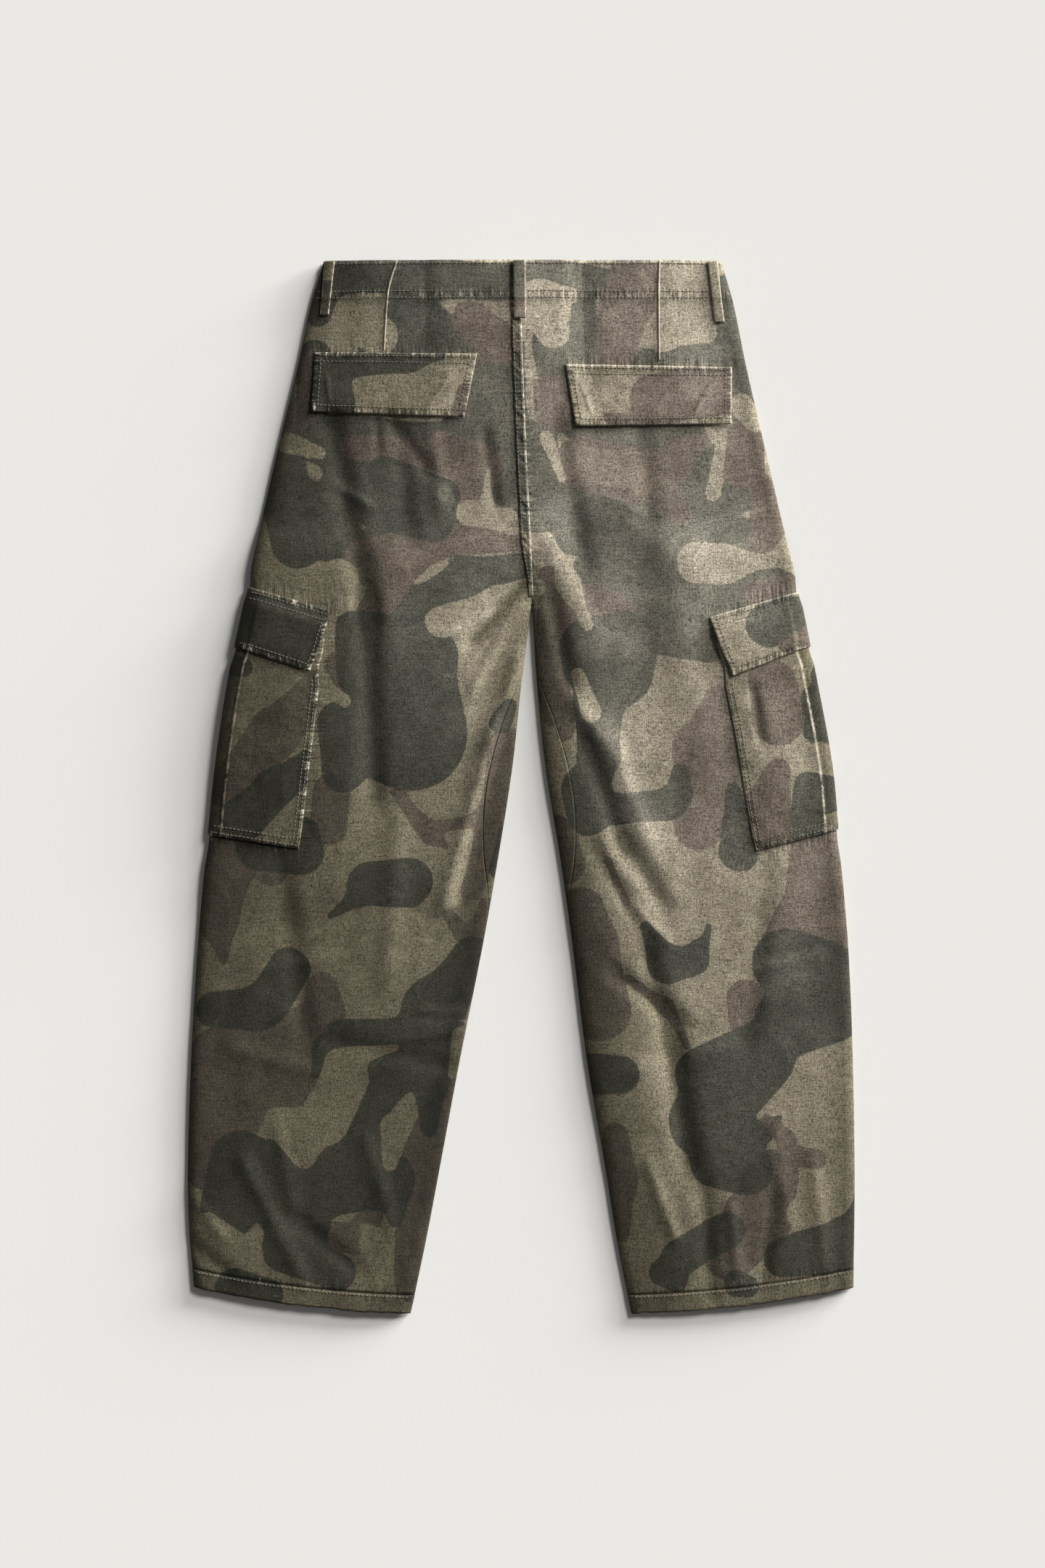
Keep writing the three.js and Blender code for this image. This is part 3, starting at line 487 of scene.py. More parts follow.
GREEN = [
    (493, 606, 562, 638, 24, 26), (505, 668, 556, 672, 16, 22), (452, 352, 420, 362, 12, 12),
    (757, 668, 806, 694, 34, 34),
    (505, 862, 522, 932, 74, 76), (470, 818, 545, 834, 36, 36), (430, 925, 440, 985, 26, 28),
    (474, 1128, 518, 1125, 31, 33), (450, 1148, 420, 1170, 10, 4), (650, 900, 640, 922, 10, 14),
    (446, 800, 452, 850, 18, 20),
    (642, 1062, 628, 1112, 9, 8), (335, 1082, 385, 1088, 32, 30), (372, 1052, 392, 1058, 20, 14),
    (272, 1286, 330, 1286, 24, 28), (344, 1272, 370, 1236, 27, 25), (412, 1335, 407, 1368, 14, 7),
    (430, 1318, 510, 1316, 17, 17), (602, 1222, 566, 1290, 26, 42), (558, 1290, 556, 1350, 44, 30),
    (550, 1360, 546, 1440, 26, 11), (520, 1340, 474, 1400, 36, 28), (468, 1415, 452, 1490, 26, 40),
    (425, 1512, 490, 1502, 38, 36), (500, 1522, 502, 1552, 17, 10), (304, 1478, 290, 1542, 36, 36),
    (350, 1500, 380, 1560, 44, 40), (360, 1592, 432, 1622, 28, 24), (300, 1640, 340, 1650, 24, 20),
    (797, 824, 792, 858, 45, 42), (762, 900, 762, 960, 34, 26), (752, 822, 752, 850, 36, 34),
    (772, 972, 768, 996, 20, 10),
    (866, 984, 864, 1012, 11, 16), (852, 1028, 790, 1035, 20, 19), (750, 1008, 752, 1040, 31, 28),
    (934, 1010, 943, 1086, 12, 24), (825, 1185, 850, 1228, 8, 21), (850, 1232, 882, 1226, 22, 19),
    (888, 1216, 902, 1182, 13, 6), (1000, 1225, 1050, 1242, 42, 44), (1010, 1300, 1062, 1288, 46, 40),
    (900, 1368, 965, 1350, 36, 46), (898, 1430, 950, 1420, 44, 48), (912, 1482, 952, 1490, 30, 34),
    (752, 1370, 794, 1372, 26, 24), (868, 1602, 925, 1568, 24, 24), (845, 1625, 860, 1635, 18, 14),
    (1000, 1602, 1082, 1588, 26, 32), (1086, 1535, 1088, 1560, 14, 22), (940, 1636, 955, 1640, 18, 14),
]
KHAKI = [
    (448, 402, 482, 432, 24, 24), (622, 604, 622, 640, 3, 7), (598, 657, 648, 668, 16, 12),
    (648, 668, 664, 684, 12, 5),
    (366, 566, 410, 580, 14, 8), (383, 762, 432, 738, 28, 26), (562, 794, 640, 768, 20, 18),
    (640, 768, 680, 750, 18, 14), (686, 384, 704, 425, 24, 22), (704, 384, 728, 380, 18, 10),
    (845, 424, 872, 394, 26, 26), (872, 394, 870, 350, 26, 16), (694, 560, 716, 612, 9, 5),
    (944, 518, 962, 540, 14, 14), (924, 556, 911, 632, 6, 10), (890, 718, 925, 720, 26, 22),
    (925, 720, 975, 714, 20, 7), (985, 713, 1014, 704, 8, 32), (699, 694, 722, 745, 4, 13),
    (722, 745, 752, 798, 13, 6), (738, 860, 752, 908, 9, 14),
    (426, 888, 440, 898, 9, 8), (470, 1176, 540, 1176, 20, 20), (698, 940, 702, 1000, 12, 12),
    (505, 1438, 496, 1486, 20, 8), (430, 1350, 505, 1336, 14, 4), (440, 1376, 416, 1430, 30, 34),
    (366, 1436, 388, 1474, 26, 18), (264, 1562, 314, 1598, 14, 20), (478, 1586, 490, 1630, 20, 16),
    (462, 1562, 482, 1580, 5, 10), (862, 1176, 878, 1176, 22, 22), (1052, 1400, 1062, 1500, 36, 34),
    (968, 1424, 1030, 1384, 4, 28), (1020, 1548, 1060, 1528, 20, 28), (604, 1275, 600, 1300, 4, 8),
    (585, 1320, 575, 1370, 10, 6),
]
BROWN_ON_TOP = [
    (802, 1250, 846, 1284, 5, 6), (846, 1284, 878, 1334, 7, 3), (978, 1428, 1004, 1452, 6, 11),
    (1006, 1474, 1044, 1478, 13, 12), (962, 754, 998, 748, 15, 17),
]
BACK_PRINT = (("green", SEAT_GREEN), ("brown", BROWN), ("green", GREEN), ("khaki", KHAKI),
              ("brown", BROWN_ON_TOP))
POCKET_PRINTS = {
    "cargo_flap_left": (("brown", [(300, 766, 345, 782, 16, 14)]),
                        ("green", [(290, 800, 430, 835, 52, 56), (380, 775, 420, 790, 24, 26)])),
    "cargo_bag_left": (("brown", [(408, 880, 350, 935, 24, 28), (350, 935, 290, 1005, 28, 22)]),
                       ("green", [(393, 977, 350, 1002, 20, 22), (350, 1002, 312, 1042, 22, 32),
                                  (300, 850, 312, 852, 14, 12)]),
                       ("khaki", [(372, 1035, 388, 1065, 13, 18)])),
    "cargo_flap_right": (("green", [(978, 796, 982, 800, 27, 26), (1000, 780, 1040, 790, 22, 22)]),
                         ("brown", [(1004, 822, 1036, 812, 10, 16)])),
    "cargo_bag_right": (("green", [(1030, 1000, 1030, 1056, 16, 24), (1030, 890, 1034, 932, 10, 12),
                                    (1046, 860, 1060, 1020, 12, 14)]),
                        ("brown", [(985, 872, 990, 918, 30, 33), (992, 985, 975, 1045, 16, 38)]),
                        ("khaki", [(1045, 965, 1065, 975, 20, 14)])),
    "back_flap_left": (("green", [(395, 470, 420, 520, 40, 36), (430, 455, 520, 455, 28, 20),
                                  (520, 452, 560, 455, 20, 6)]),
                       ("brown", [(590, 500, 588, 522, 8, 12)])),
    "back_flap_right": (("brown", [(835, 510, 930, 495, 32, 34), (775, 536, 850, 540, 9, 9)]),),
}
print(sum(len(strokes) for _, strokes in BACK_PRINT), "strokes in the main print")


# %% Distances inside the inks
BLEND, LEAST_SUM, EXPONENTS = 0.22, 1e-9, (-20, 30)
DOT_LENGTH = 0.01
FAR = 12.0


def inside_strokes(strokes, x, down):
    """Soft union of tapered strokes: log of the sum of exp(distance inside each), in millimetres."""
    total = np.full(np.broadcast(x, down).shape, LEAST_SUM)
    for x1, y1, x2, y2, radius1, radius2 in strokes:
        start_x, start_down = x1 * CHART_STEP + CHART_X, y1 * CHART_STEP + CHART_DOWN
        end_x, end_down = x2 * CHART_STEP + CHART_X + DOT_LENGTH, y2 * CHART_STEP + CHART_DOWN
        share = np.clip(along_line((start_x, start_down, end_x, end_down), x, down)[0], 0, 1)
        away = np.hypot(x - mix(start_x, end_x, share), down - mix(start_down, end_down, share))
        inside = mix(radius1, radius2, share) * CHART_STEP - away
        total += np.exp(np.clip(BLEND * inside, *EXPONENTS))
    return np.log(total) / BLEND


def wobble(x, down, layer):
    """Small shifts that make the charted shapes less smooth."""
    return 3 * noise(x, down, 70, layer) + 0.6 * noise(x, down, 22, layer + 1)


def print_fields(layers, x, down):
    """Lays the inks over each other in order. A new ink adds its own distance, cuts the others away
    with its negative, and darkens what it covers. Khaki is bare cloth, so it cuts all of them."""
    moved_x, moved_down = x + wobble(x, down, 4), down + wobble(x, down, 6)
    inks = {"green": np.full(moved_x.shape, -FAR), "brown": np.full(moved_x.shape, -FAR)}
    overlap = np.full(moved_x.shape, -FAR)
    for ink, strokes in layers:
        inside = inside_strokes(strokes, moved_x, moved_down)
        covered = np.minimum(np.maximum(inks["green"], inks["brown"]), inside)
        overlap = np.minimum(overlap, -inside) if ink == "khaki" else np.maximum(overlap, covered)
        for other, own in inks.items():
            inks[other] = np.maximum(own, inside) if other == ink else np.minimum(own, -inside)
    return {key: np.clip(value, -FAR, FAR) for key, value in {**inks, "overlap": overlap}.items()}


# %% [markdown]
# ## Wear, fading, and painted light and shade
#
# The cloth's stored brightness is mostly painted light. A falloff from the upper right makes it
# palest over the right seat and thigh and darkest on the lower left leg. Painted shade darkens it
# beside the leg's own edges and in the troughs of folds, and painted light lifts raised cloth. Slow
# blotches stand for uneven fading by washing. Raised places such as seams, flap edges and set creases
# are abraded to cream. Noise alone would put the falloff anywhere, so it is a few broad ramps over
# the whole garment, and the abraded lines are placed in a table.

# %% Painted light and shade, fading and abraded lines
# Painted light falloff from the upper right, and the painted light and shade that follow the relief.
PAINTED_FALLOFF_LOW, PAINTED_FALLOFF_EDGE, PAINTED_FALLOFF_RAMP = 0.25, -300.0, 365.0
PAINTED_FALLOFF_TURN, PAINTED_FALLOFF_LEAN, PAINTED_FALLOFF_LENGTH = 300.0, 0.25, 520.0
PAINTED_RELIEF_SHADE, FRONT_FADE = 0.1, 0.42
# Painted shade beside the outer edges and along the inside of the legs.
OUTER_DARK, OUTER_DARK_WIDTH = 0.45, 19.0
INNER_DARK_BEFORE, INNER_DARK_RAMP = 70.0, 90.0
SHIN_DOWN, SHIN_RAMP, SHIN_LOSS = 700.0, 300.0, 0.4
WORN_END = 4.0
FRONT_SQUEEZE, FRONT_X, FRONT_DOWN = 0.93, 14.0, 1010.0
INNER_DARK = {"left": (0.66, 34.0), "right": (0.78, 46.0)}
# Each worn line: x1, down1, x2, down2, width, strength
WORN = np.array([
    (-123, 1, -132, 30, 1.0, 0.9), (-132, 30, -136, 89, 1.0, 0.9), (136.5, 1, 135.7, 99, 1.0, 0.9),
    (-206, 1, 206, 1, 1.6, 0.5), (-92, 758, -34, 750, 2.0, 0.5), (-96, 742, -40, 744, 1.6, 0.4),
    (-60, 762, -20, 756, 1.6, 0.5), (-330, 1014, -110, 1040, 1.6, 0.35), (104, 1040, 330, 1014, 1.6, 0.35),
    (-30, 470, -74, 630, 2.0, 0.15), (230, 430, 236, 470, 1.5, 0.35), (100, 706, 140, 738, 1.6, 0.4),
], float)


def painted_edge_shade(x, down):
    """Painted shade beside the leg's edges, with more of it on the inside of the legs: 1 where there is
    none of it."""
    total = np.zeros(np.broadcast(x, down).shape)
    for leg in ("left", "right"):
        own = (x < centre_x(down)) == (leg == "left")
        to_outer, to_inner = np.abs(x - outer_x(leg, down)), np.abs(x - inner_x(leg, down))
        depth, width = INNER_DARK[leg]
        below_crotch = smooth((down - CROTCH_DOWN + INNER_DARK_BEFORE) / INNER_DARK_RAMP)
        on_shin = 1 - SHIN_LOSS * smooth((down - SHIN_DOWN) / SHIN_RAMP)
        inner = depth * np.exp(-((to_inner / width) ** 2)) * below_crotch * on_shin
        outer = OUTER_DARK * np.exp(-((to_outer / OUTER_DARK_WIDTH) ** 2))
        total = total + own * (1 - (1 - outer) * (1 - inner))
    return 1 - total


def fade_and_shade_at(x, down):
    """Brightness of the cloth: a painted light falloff that rises from the left edge and falls towards the
    hems, slow blotches of uneven fading, painted light on raised cloth and painted shade in the troughs
    of folds, and painted shade beside the leg's edges."""
    # Painted light falloff: brighter towards the right and towards the waist.
    past_turn = np.maximum(down - PAINTED_FALLOFF_TURN, 0)
    across = smooth((x - PAINTED_FALLOFF_EDGE - PAINTED_FALLOFF_LEAN * past_turn) / PAINTED_FALLOFF_RAMP)
    along = np.exp(-((past_turn / PAINTED_FALLOFF_LENGTH) ** 2))
    blotch = 1 + 0.12 * noise(x, down, 55, 5) + 0.09 * noise(x, down, 17, 6)
    blotch = blotch + 0.05 * noise(x * 0.3, down, 6, 7)
    # Painted light on raised cloth and painted shade in the troughs of folds.
    raised = 1 + PAINTED_RELIEF_SHADE * np.clip(folds_at(x, down) + crumple(x, down), -5, 3)
    return (PAINTED_FALLOFF_LOW + (1 - PAINTED_FALLOFF_LOW) * across * along) * blotch * raised * painted_edge_shade(x, down)


def worn_at(x, down):
    """Abrasion from 0 to 1: bell-shaped bands along the table's lines, broken up by noise."""
    total = np.zeros(np.broadcast(x, down).shape)
    for *line, width, strength in WORN:
        share, across, length = along_line(line, x, down)
        band = np.exp(-((across / width) ** 2) - (past_ends(share, length) / WORN_END) ** 2)
        total = np.maximum(total, strength * band)
    return total * (0.75 + 0.5 * noise(x, down, 5, 2))


def back_fields(x, down):
    """All attributes of the main print on the back."""
    return {**print_fields(BACK_PRINT, x, down), **puckers_at(x, down), "fade": fade_and_shade_at(x, down),
            "worn": worn_at(x, down)}


def front_fields(x, down):
    """The front is cut from the same cloth turned round, and is less faded."""
    turned = print_fields(BACK_PRINT, FRONT_X - x * FRONT_SQUEEZE, FRONT_DOWN - down)
    fade = FRONT_FADE + 0.06 * noise(x, down, 60, 5)
    return {**turned, **puckers_at(x, down), "fade": fade, "worn": np.zeros_like(x)}


# %% [markdown]
# ## Back and front panels
#
# A leg of trousers is cut as two panels, sewn together along its outer and inner edge. Here too, each
# is a piece of its own, so that the seams are real gaps between two cloths. A row of points crosses
# the leg. Rows are level down to the knee and then turn into the slanted, bowed line of the hem.
# Points are closer together where the skin is round: at the outer edge, and where back and front
# meet on the inside of the leg.

# %% Rows and columns of a leg
INSEAM_ON_TOP = dict(start=356.0, end=690.0, width=26.0)
SLANT_FROM = 600.0


def row_down(row, share):
    """Distance down of a point on a row: lower on the inner side and bowed in the middle, near the hem."""
    slanted = smooth((row - SLANT_FROM) / (LEG_LENGTH - SLANT_FROM))
    return row + slanted * (HEM_SLANT * share + HEM_BOW * 4 * share * (1 - share))


def row_width(leg, row):
    """Width of the leg along a row."""
    inner_down = row_down(row, np.where(row <= CROTCH_DOWN, 0.0, 1.0))
    return np.abs(inner_x(leg, inner_down) - outer_x(leg, row))


def row_place(leg, row, inward):
    """x and down of a point that lies inward from the outer edge, on a row."""
    return outer_x(leg, row) + INWARD[leg] * inward, row_down(row, inward / row_width(leg, row))


def from_inner(row, length):
    """Distance in from the inner edge for a length measured round it."""
    size = np.abs(length)
    bent = INSEAM_RADIUS * (1 - np.cos(np.pi / 2 * np.minimum(size, ROUND_INNER) / ROUND_INNER))
    closed = np.where(size > ROUND_INNER, INSEAM_RADIUS + size - ROUND_INNER, bent)
    return np.where(row <= CROTCH_DOWN, size, closed)


def inseam_at(row):
    """Length round the inner edge at which the two panels are sewn together."""
    start, end = INSEAM_ON_TOP["start"], INSEAM_ON_TOP["end"]
    bow = INSEAM_ON_TOP["width"] * np.sin(np.pi * (row - start) / (end - start)) ** 2
    return np.where((row > start) & (row < end), bow, 0.0)


def panel_rows(step):
    """Rows of a panel about one step apart, with one exactly at the crotch."""
    seat = np.linspace(0, CROTCH_DOWN, int(CROTCH_DOWN / step) + 1)
    end = LEG_LENGTH - HEM_DEPTH - SEAM_GAP
    leg = np.linspace(CROTCH_DOWN + step, end, int((end - CROTCH_DOWN) / step))
    return np.concatenate([seat, leg])[:, None]


def edge_first(share, width, part=0.12):
    """Distances in from the outer edge: the first part of the columns share out its quarter round."""
    bent = EDGE_RADIUS * (1 - np.cos(np.pi / 2 * np.minimum(share / part, 1)))
    return np.where(share < part, bent, mix(EDGE_RADIUS, width, (share - part) / (1 - part)))


# %% The four large panels
BACK_ROUND, FRONT_ROUND = 0.12, 0.3


def back_panel(leg, step, columns):
    """Outer edge round to the crown, across, and over the inner edge to the inseam. The last part of
    the columns goes round the inner edge."""
    row = panel_rows(step)
    share = np.linspace(0, 1, columns)[None, :]
    width = row_width(leg, row)
    seam = inseam_at(row) + np.where(row > CROTCH_DOWN, SEAM_GAP / 2, 0.0)
    last = width - from_inner(row, seam + ROUND_INNER)
    flat = 1 - BACK_ROUND
    left_to_go = 1 - np.clip((share - flat) / BACK_ROUND, 0, 1)
    near_inner = width - from_inner(row, seam + ROUND_INNER * left_to_go)
    inward = np.where(share < flat, edge_first(share / flat, last), near_inner)
    x, down = row_place(leg, row, inward)
    outside, inside = skin(leg, 1, x, down, 0.0), skin(leg, 1, x, down, WALL)
    return cloth(f"cloth_back_{leg}", outside, inside, back_fields(x, down))


def front_panel(leg, step, columns):
    """From the inseam round the inner edge with the first part of the columns, then under the leg to
    the outer edge. It takes the back's fields where the inseam lies on top of the leg."""
    row = panel_rows(step)
    share = np.linspace(0, 1, columns)[None, :]
    width = row_width(leg, row)
    seam = np.where(row > CROTCH_DOWN, -np.maximum(inseam_at(row) - SEAM_GAP / 2, 0.0), 0.0)
    length = mix(seam, ROUND_INNER, np.clip(share / FRONT_ROUND, 0, 1))
    start = width - from_inner(row, ROUND_INNER)
    rest = edge_first(1 - (share - FRONT_ROUND) / (1 - FRONT_ROUND), start)
    inward = np.where(share < FRONT_ROUND, width - from_inner(row, length), rest)
    face = np.where((share < FRONT_ROUND) & (length < 0), 1.0, -1.0)
    x, down = row_place(leg, row, inward)
    on_top = back_fields(x, down)
    under = front_fields(x, down)
    fields = {key: np.where(face > 0, on_top[key], under[key]) for key in on_top}
    outside, inside = skin(leg, face, x, down, 0.0), skin(leg, face, x, down, WALL)
    return cloth(f"cloth_front_{leg}", outside, inside, fields)


for leg in ("left", "right"):
    back_panel(leg, step=3.5, columns=150)
    front_panel(leg, step=7.0, columns=84)

# %% [markdown]
# ## Turned hems
#
# A hem is the leg's end turned in twice and stitched. Only its outside shows, so it is one ring of
# cloth, thicker than the leg. Its stitches pull it into short ripples, so its lower edge is a little
# wavy, and the fold itself is rubbed pale.


# %% Hem rings
HEM_SHADE, HEM_PROUD = 0.84, 0.25
HEM_ROWS, HEM_HALF = 9, 150
HEM_WAVE, HEM_WAVE_LENGTH, HEM_WAVE_DEPTH = 0.9, 9.0, 9.0


def hem(leg):
    """Closed ring: over the back from the outer edge to the inner, and home along the front."""
    step = np.arange(2 * HEM_HALF)
    share = np.where(step <= HEM_HALF, step, 2 * HEM_HALF - step)[None, :] / HEM_HALF
    face = np.where((step > 0) & (step < HEM_HALF), 1.0, -1.0)[None, :]
    row = np.linspace(LEG_LENGTH - HEM_DEPTH, LEG_LENGTH, HEM_ROWS)[:, None]
    width = row_width(leg, row)
    wider = INSEAM_RADIUS / EDGE_RADIUS
    outer_half = edge_first(share * 2, width / 2)
    inner_half = width - wider * edge_first((1 - share) * 2, width / 2 / wider)
    x, down = row_place(leg, row, np.where(share < 0.5, outer_half, inner_half))
    wave = HEM_WAVE * noise(x, row * 0, HEM_WAVE_LENGTH, 3)
    wave = wave * smooth((row - LEG_LENGTH + HEM_WAVE_DEPTH) / HEM_WAVE_DEPTH)
    down = down + np.where(face > 0, wave, 0.0)
    fields = back_fields(x, down)
    fields["fade"] = fields["fade"] * HEM_SHADE
    outside, inside = skin(leg, face, x, down, -HEM_PROUD), skin(leg, face, x, down, HEM_WALL)
    return cloth(f"cloth_hem_{leg}", outside, inside, fields, ring=True)


for leg in ("left", "right"):
    hem(leg)

# %% [markdown]
# ## Pieces that lie on the panels
#
# Flaps, loops and the felled seam lie on the cloth and follow it. A Shrinkwrap modifier could lay
# them down, but the panel's own skin moved out gives the same with an exact gap. Most of them have
# four sides, so one function maps a square of points on to them.

# %% Four-sided pieces
BACK_FLAPS = {
    "left": ((-204.1, 90.7), (-43.7, 92.9), (-56.1, 155.2), (-208.2, 149.3)),
    "right": ((43.2, 103.0), (208.4, 105.6), (207.7, 161.7), (53.6, 163.9)),
}
BACK_LOOPS = {
    "left": ((-193.6, 1), (-184.6, 1), (-190.6, 54), (-199.4, 54)),
    "centre": ((-8.0, 1), (4.0, 1), (4.6, 58), (-7.4, 58)),
    "right": ((184.0, 1), (193.4, 1), (201.0, 61), (191.4, 61)),
}
BACK_FLAP_WALL, BACK_FLAP_LIFT, CORNER_LIFT, CREASE_LIFT = 1.8, 1.0, 0.7, 0.9
RIPPLE_LIFT, RIPPLE_LENGTH, RIPPLE_REACH = 0.3, 5.5, 8.0
RUB_IN, RUB_WIDTH, RUB_LEFT, RUB_RIGHT, RUB_SPAN = 0.6, 0.9, 0.7, 1.2, 400.0
TURNED_SHADE, TURNED_IN, TURNED_WIDTH = 0.16, 4.5, 3.0
POCKET_PUCKERS, END_REACH, SIDE_REACH = 1.1, 6.5, 6.0


def in_quad(quad, s, t):
    """Plan point of a four-sided piece: s across and t down, both from 0 to 1."""
    (x1, d1), (x2, d2), (x3, d3), (x4, d4) = quad
    return mix(mix(x1, x2, s), mix(x4, x3, s), t), mix(mix(d1, d2, s), mix(d4, d3, s), t)


def on_panels(face, x, down, out):
    """Skin of whichever leg the point lies on, moved out."""
    left = skin("left", face, x, down, -out)
    right = skin("right", face, x, down, -out)
    return np.where((x < centre_x(down))[..., None], left, right)


def edge_ripple(to_edge, along, layer):
    """Ripples of a stitched edge: noise along it that dies away beyond the stitches."""
    fades = np.exp(-((to_edge / RIPPLE_REACH) ** 2))
    return RIPPLE_LIFT * noise(along, to_edge * 0.3, RIPPLE_LENGTH, layer) * fades


def edge_distances(quad, s, t):
    """Distances from a point to the piece's sides and to its ends, and a length along its edges."""
    (x1, d1), (x2, d2), _, (x4, d4) = quad
    width, height = np.hypot(x2 - x1, d2 - d1), np.hypot(x4 - x1, d4 - d1)
    to_side = np.minimum(s, 1 - s) * width + 0 * t
    to_end = np.minimum(t, 1 - t) * height + 0 * s
    return to_side, to_end, s * width + t * height


def rounded(to_edge, radius, depth):
    """How much of a piece's thickness is gone at its edge: depth * exp(-(to edge / radius)^2)."""
    return depth * np.exp(-((to_edge / radius) ** 2))


def pocket_fields(pattern, x, down, to_side, to_end, along):
    """Attributes of a pocket piece: its own cut of the print, puckers along its stitched edges, a
    darker band over the turned cloth, and cream where the edges themselves are rubbed, made stronger
    towards the right as painted light on edges that lie in shade."""
    to_edge = np.minimum(to_side, to_end)
    rub = np.exp(-(((to_edge - RUB_IN) / RUB_WIDTH) ** 2)) * (0.8 + 0.5 * noise(along, to_edge, 4, 3))
    # The cream is real wear; its rise towards the right is painted light on edges facing away from the
    # lamps.
    rub = rub * mix(RUB_LEFT, RUB_RIGHT, smooth((x + RUB_SPAN / 2) / RUB_SPAN))
    turned = 1 - TURNED_SHADE * np.exp(-(((to_edge - TURNED_IN) / TURNED_WIDTH) ** 2))
    fade = fade_and_shade_at(x, down) * (0.96 + 0.1 * noise(along, to_edge, 12, 1)) * turned
    return {
        **print_fields(pattern, x, down),
        "pucker_across": POCKET_PUCKERS * np.exp(-((to_end / END_REACH) ** 2)),
        "pucker_down": POCKET_PUCKERS * np.exp(-((to_side / SIDE_REACH) ** 2)),
        "fade": fade,
        "worn": np.clip(rub, 0, 1),
    }


# %% [markdown]
# ## Back flaps
#
# A back pocket shows only its flap: two layers of canvas turned at the edge and stitched twice along
# the top. Each edge is rounded and ripples between its stitches, and the free lower corners lift. A
# box with bevelled edges would be too even. So its thickness, its ripples and its two set creases
# are one height over the panel, worked out for each point.

# %% Height and mesh of a back flap
CORNER_SHARE, CORNER_LENGTH = 0.12, 0.3
# Each set crease: share across, lean, width, strength
FLAP_CREASES = [(0.83, -0.22, 0.016, 1.0), (0.09, 0.08, 0.014, 0.7)]
CREASE_TOP, CREASE_TOP_RAMP, CREASE_END, CREASE_END_RAMP = 0.2, 0.3, 0.92, 0.2
FLAP_COLUMNS, FLAP_ROWS = 112, 48


def flap_stand(s, t):
    """Height of a back flap above the panel: nothing along its seam and most at its free lower
    corners, with a set crease near each side."""
    corners = np.exp(-(((s - 1) / CORNER_SHARE) ** 2)) + np.exp(-((s / CORNER_SHARE) ** 2))
    corners = corners * np.exp(-(((t - 1) / CORNER_LENGTH) ** 2))
    crease = 0
    for place, lean, width, strength in FLAP_CREASES:
        crease = crease + strength * np.exp(-(((s - place - lean * (t - 0.5)) / width) ** 2))
    crease = crease * smooth((t - CREASE_TOP) / CREASE_TOP_RAMP)
    crease = crease * smooth((CREASE_END - t) / CREASE_END_RAMP)
    return BACK_FLAP_LIFT * t + CORNER_LIFT * corners + CREASE_LIFT * crease


def back_flap_out(s, t, to_edge, along):
    """Distance of a back flap's underside from the panel."""
    return LAYER_GAP + flap_stand(s, t) + np.maximum(edge_ripple(to_edge, along, 1), -0.2)


def back_flap(leg):
    """Flap of a back pocket."""
    quad = BACK_FLAPS[leg]
    s, t = np.linspace(0, 1, FLAP_COLUMNS)[None, :], np.linspace(0, 1, FLAP_ROWS)[:, None]
    x, down = in_quad(quad, s, t)
    to_side, to_end, along = edge_distances(quad, s, t)
    to_edge = np.minimum(to_side, to_end)
    out = back_flap_out(s, t, to_edge, along)
    top = on_panels(1, x, down, out + BACK_FLAP_WALL - rounded(to_edge, 0.9, 0.55))
    fields = pocket_fields(POCKET_PRINTS[f"back_flap_{leg}"], x, down, to_side, to_end, along)
    return cloth(f"flap_back_{leg}", top, on_panels(1, x, down, out), fields)


for leg in ("left", "right"):
    back_flap(leg)

# %% [markdown]
# ## Belt loops
#
# A belt loop is a strip of canvas folded in three, sewn down at both ends. A straight box would do
# from far away, but its rubbed edges catch the eye close by. So it is a four-sided piece as well: it
# bows away from the cloth in the middle, and the one at the centre stands over the seat seam.

# %% Three loops on the back and two on the front
STRIP_UNEVEN, PRINT_SHIFT = 0.12, (90.0, 140.0)
OVER_SEAM = FELL["wall"] + LAYER_GAP + SEAM_GAP
FRONT_LOOP_WALL, FRONT_LOOP_BOW, FRONT_LOOP_DROP = 1.4, 0.48, 0.15


def loop(name, face, quad, stand, bow, wall, size):
    """A narrow folded strip: it bows away from the cloth in the middle, is rounded along both sides,
    and is rubbed there. A back loop is cut from another place of the print."""
    s, t = np.linspace(0, 1, size[1])[None, :], np.linspace(0, 1, size[0])[:, None]
    x, down = in_quad(quad, s, t)
    to_side = np.minimum(s, 1 - s) * np.hypot(quad[1][0] - quad[0][0], quad[1][1] - quad[0][1])
    along = t * np.hypot(quad[3][0] - quad[0][0], quad[3][1] - quad[0][1])
    uneven = STRIP_UNEVEN * (1 + noise(along, to_side, 5, 2))
    out = LAYER_GAP + stand + bow * np.sin(np.pi * t) + uneven
    top = out + wall - rounded(to_side, 0.9, 0.5)
    rub = np.exp(-((to_side / 1.1) ** 2)) * (0.8 + 0.5 * noise(along, to_side, 4, 3))
    moved_x, moved_down = x + PRINT_SHIFT[0], down + PRINT_SHIFT[1]
    base = back_fields(moved_x, moved_down) if face > 0 else front_fields(x, down)
    fields = {**base, "fade": fade_and_shade_at(x, down), "worn": np.clip(rub, 0, 1)}
    return cloth(name, on_panels(face, x, down, top), on_panels(face, x, down, out), fields)


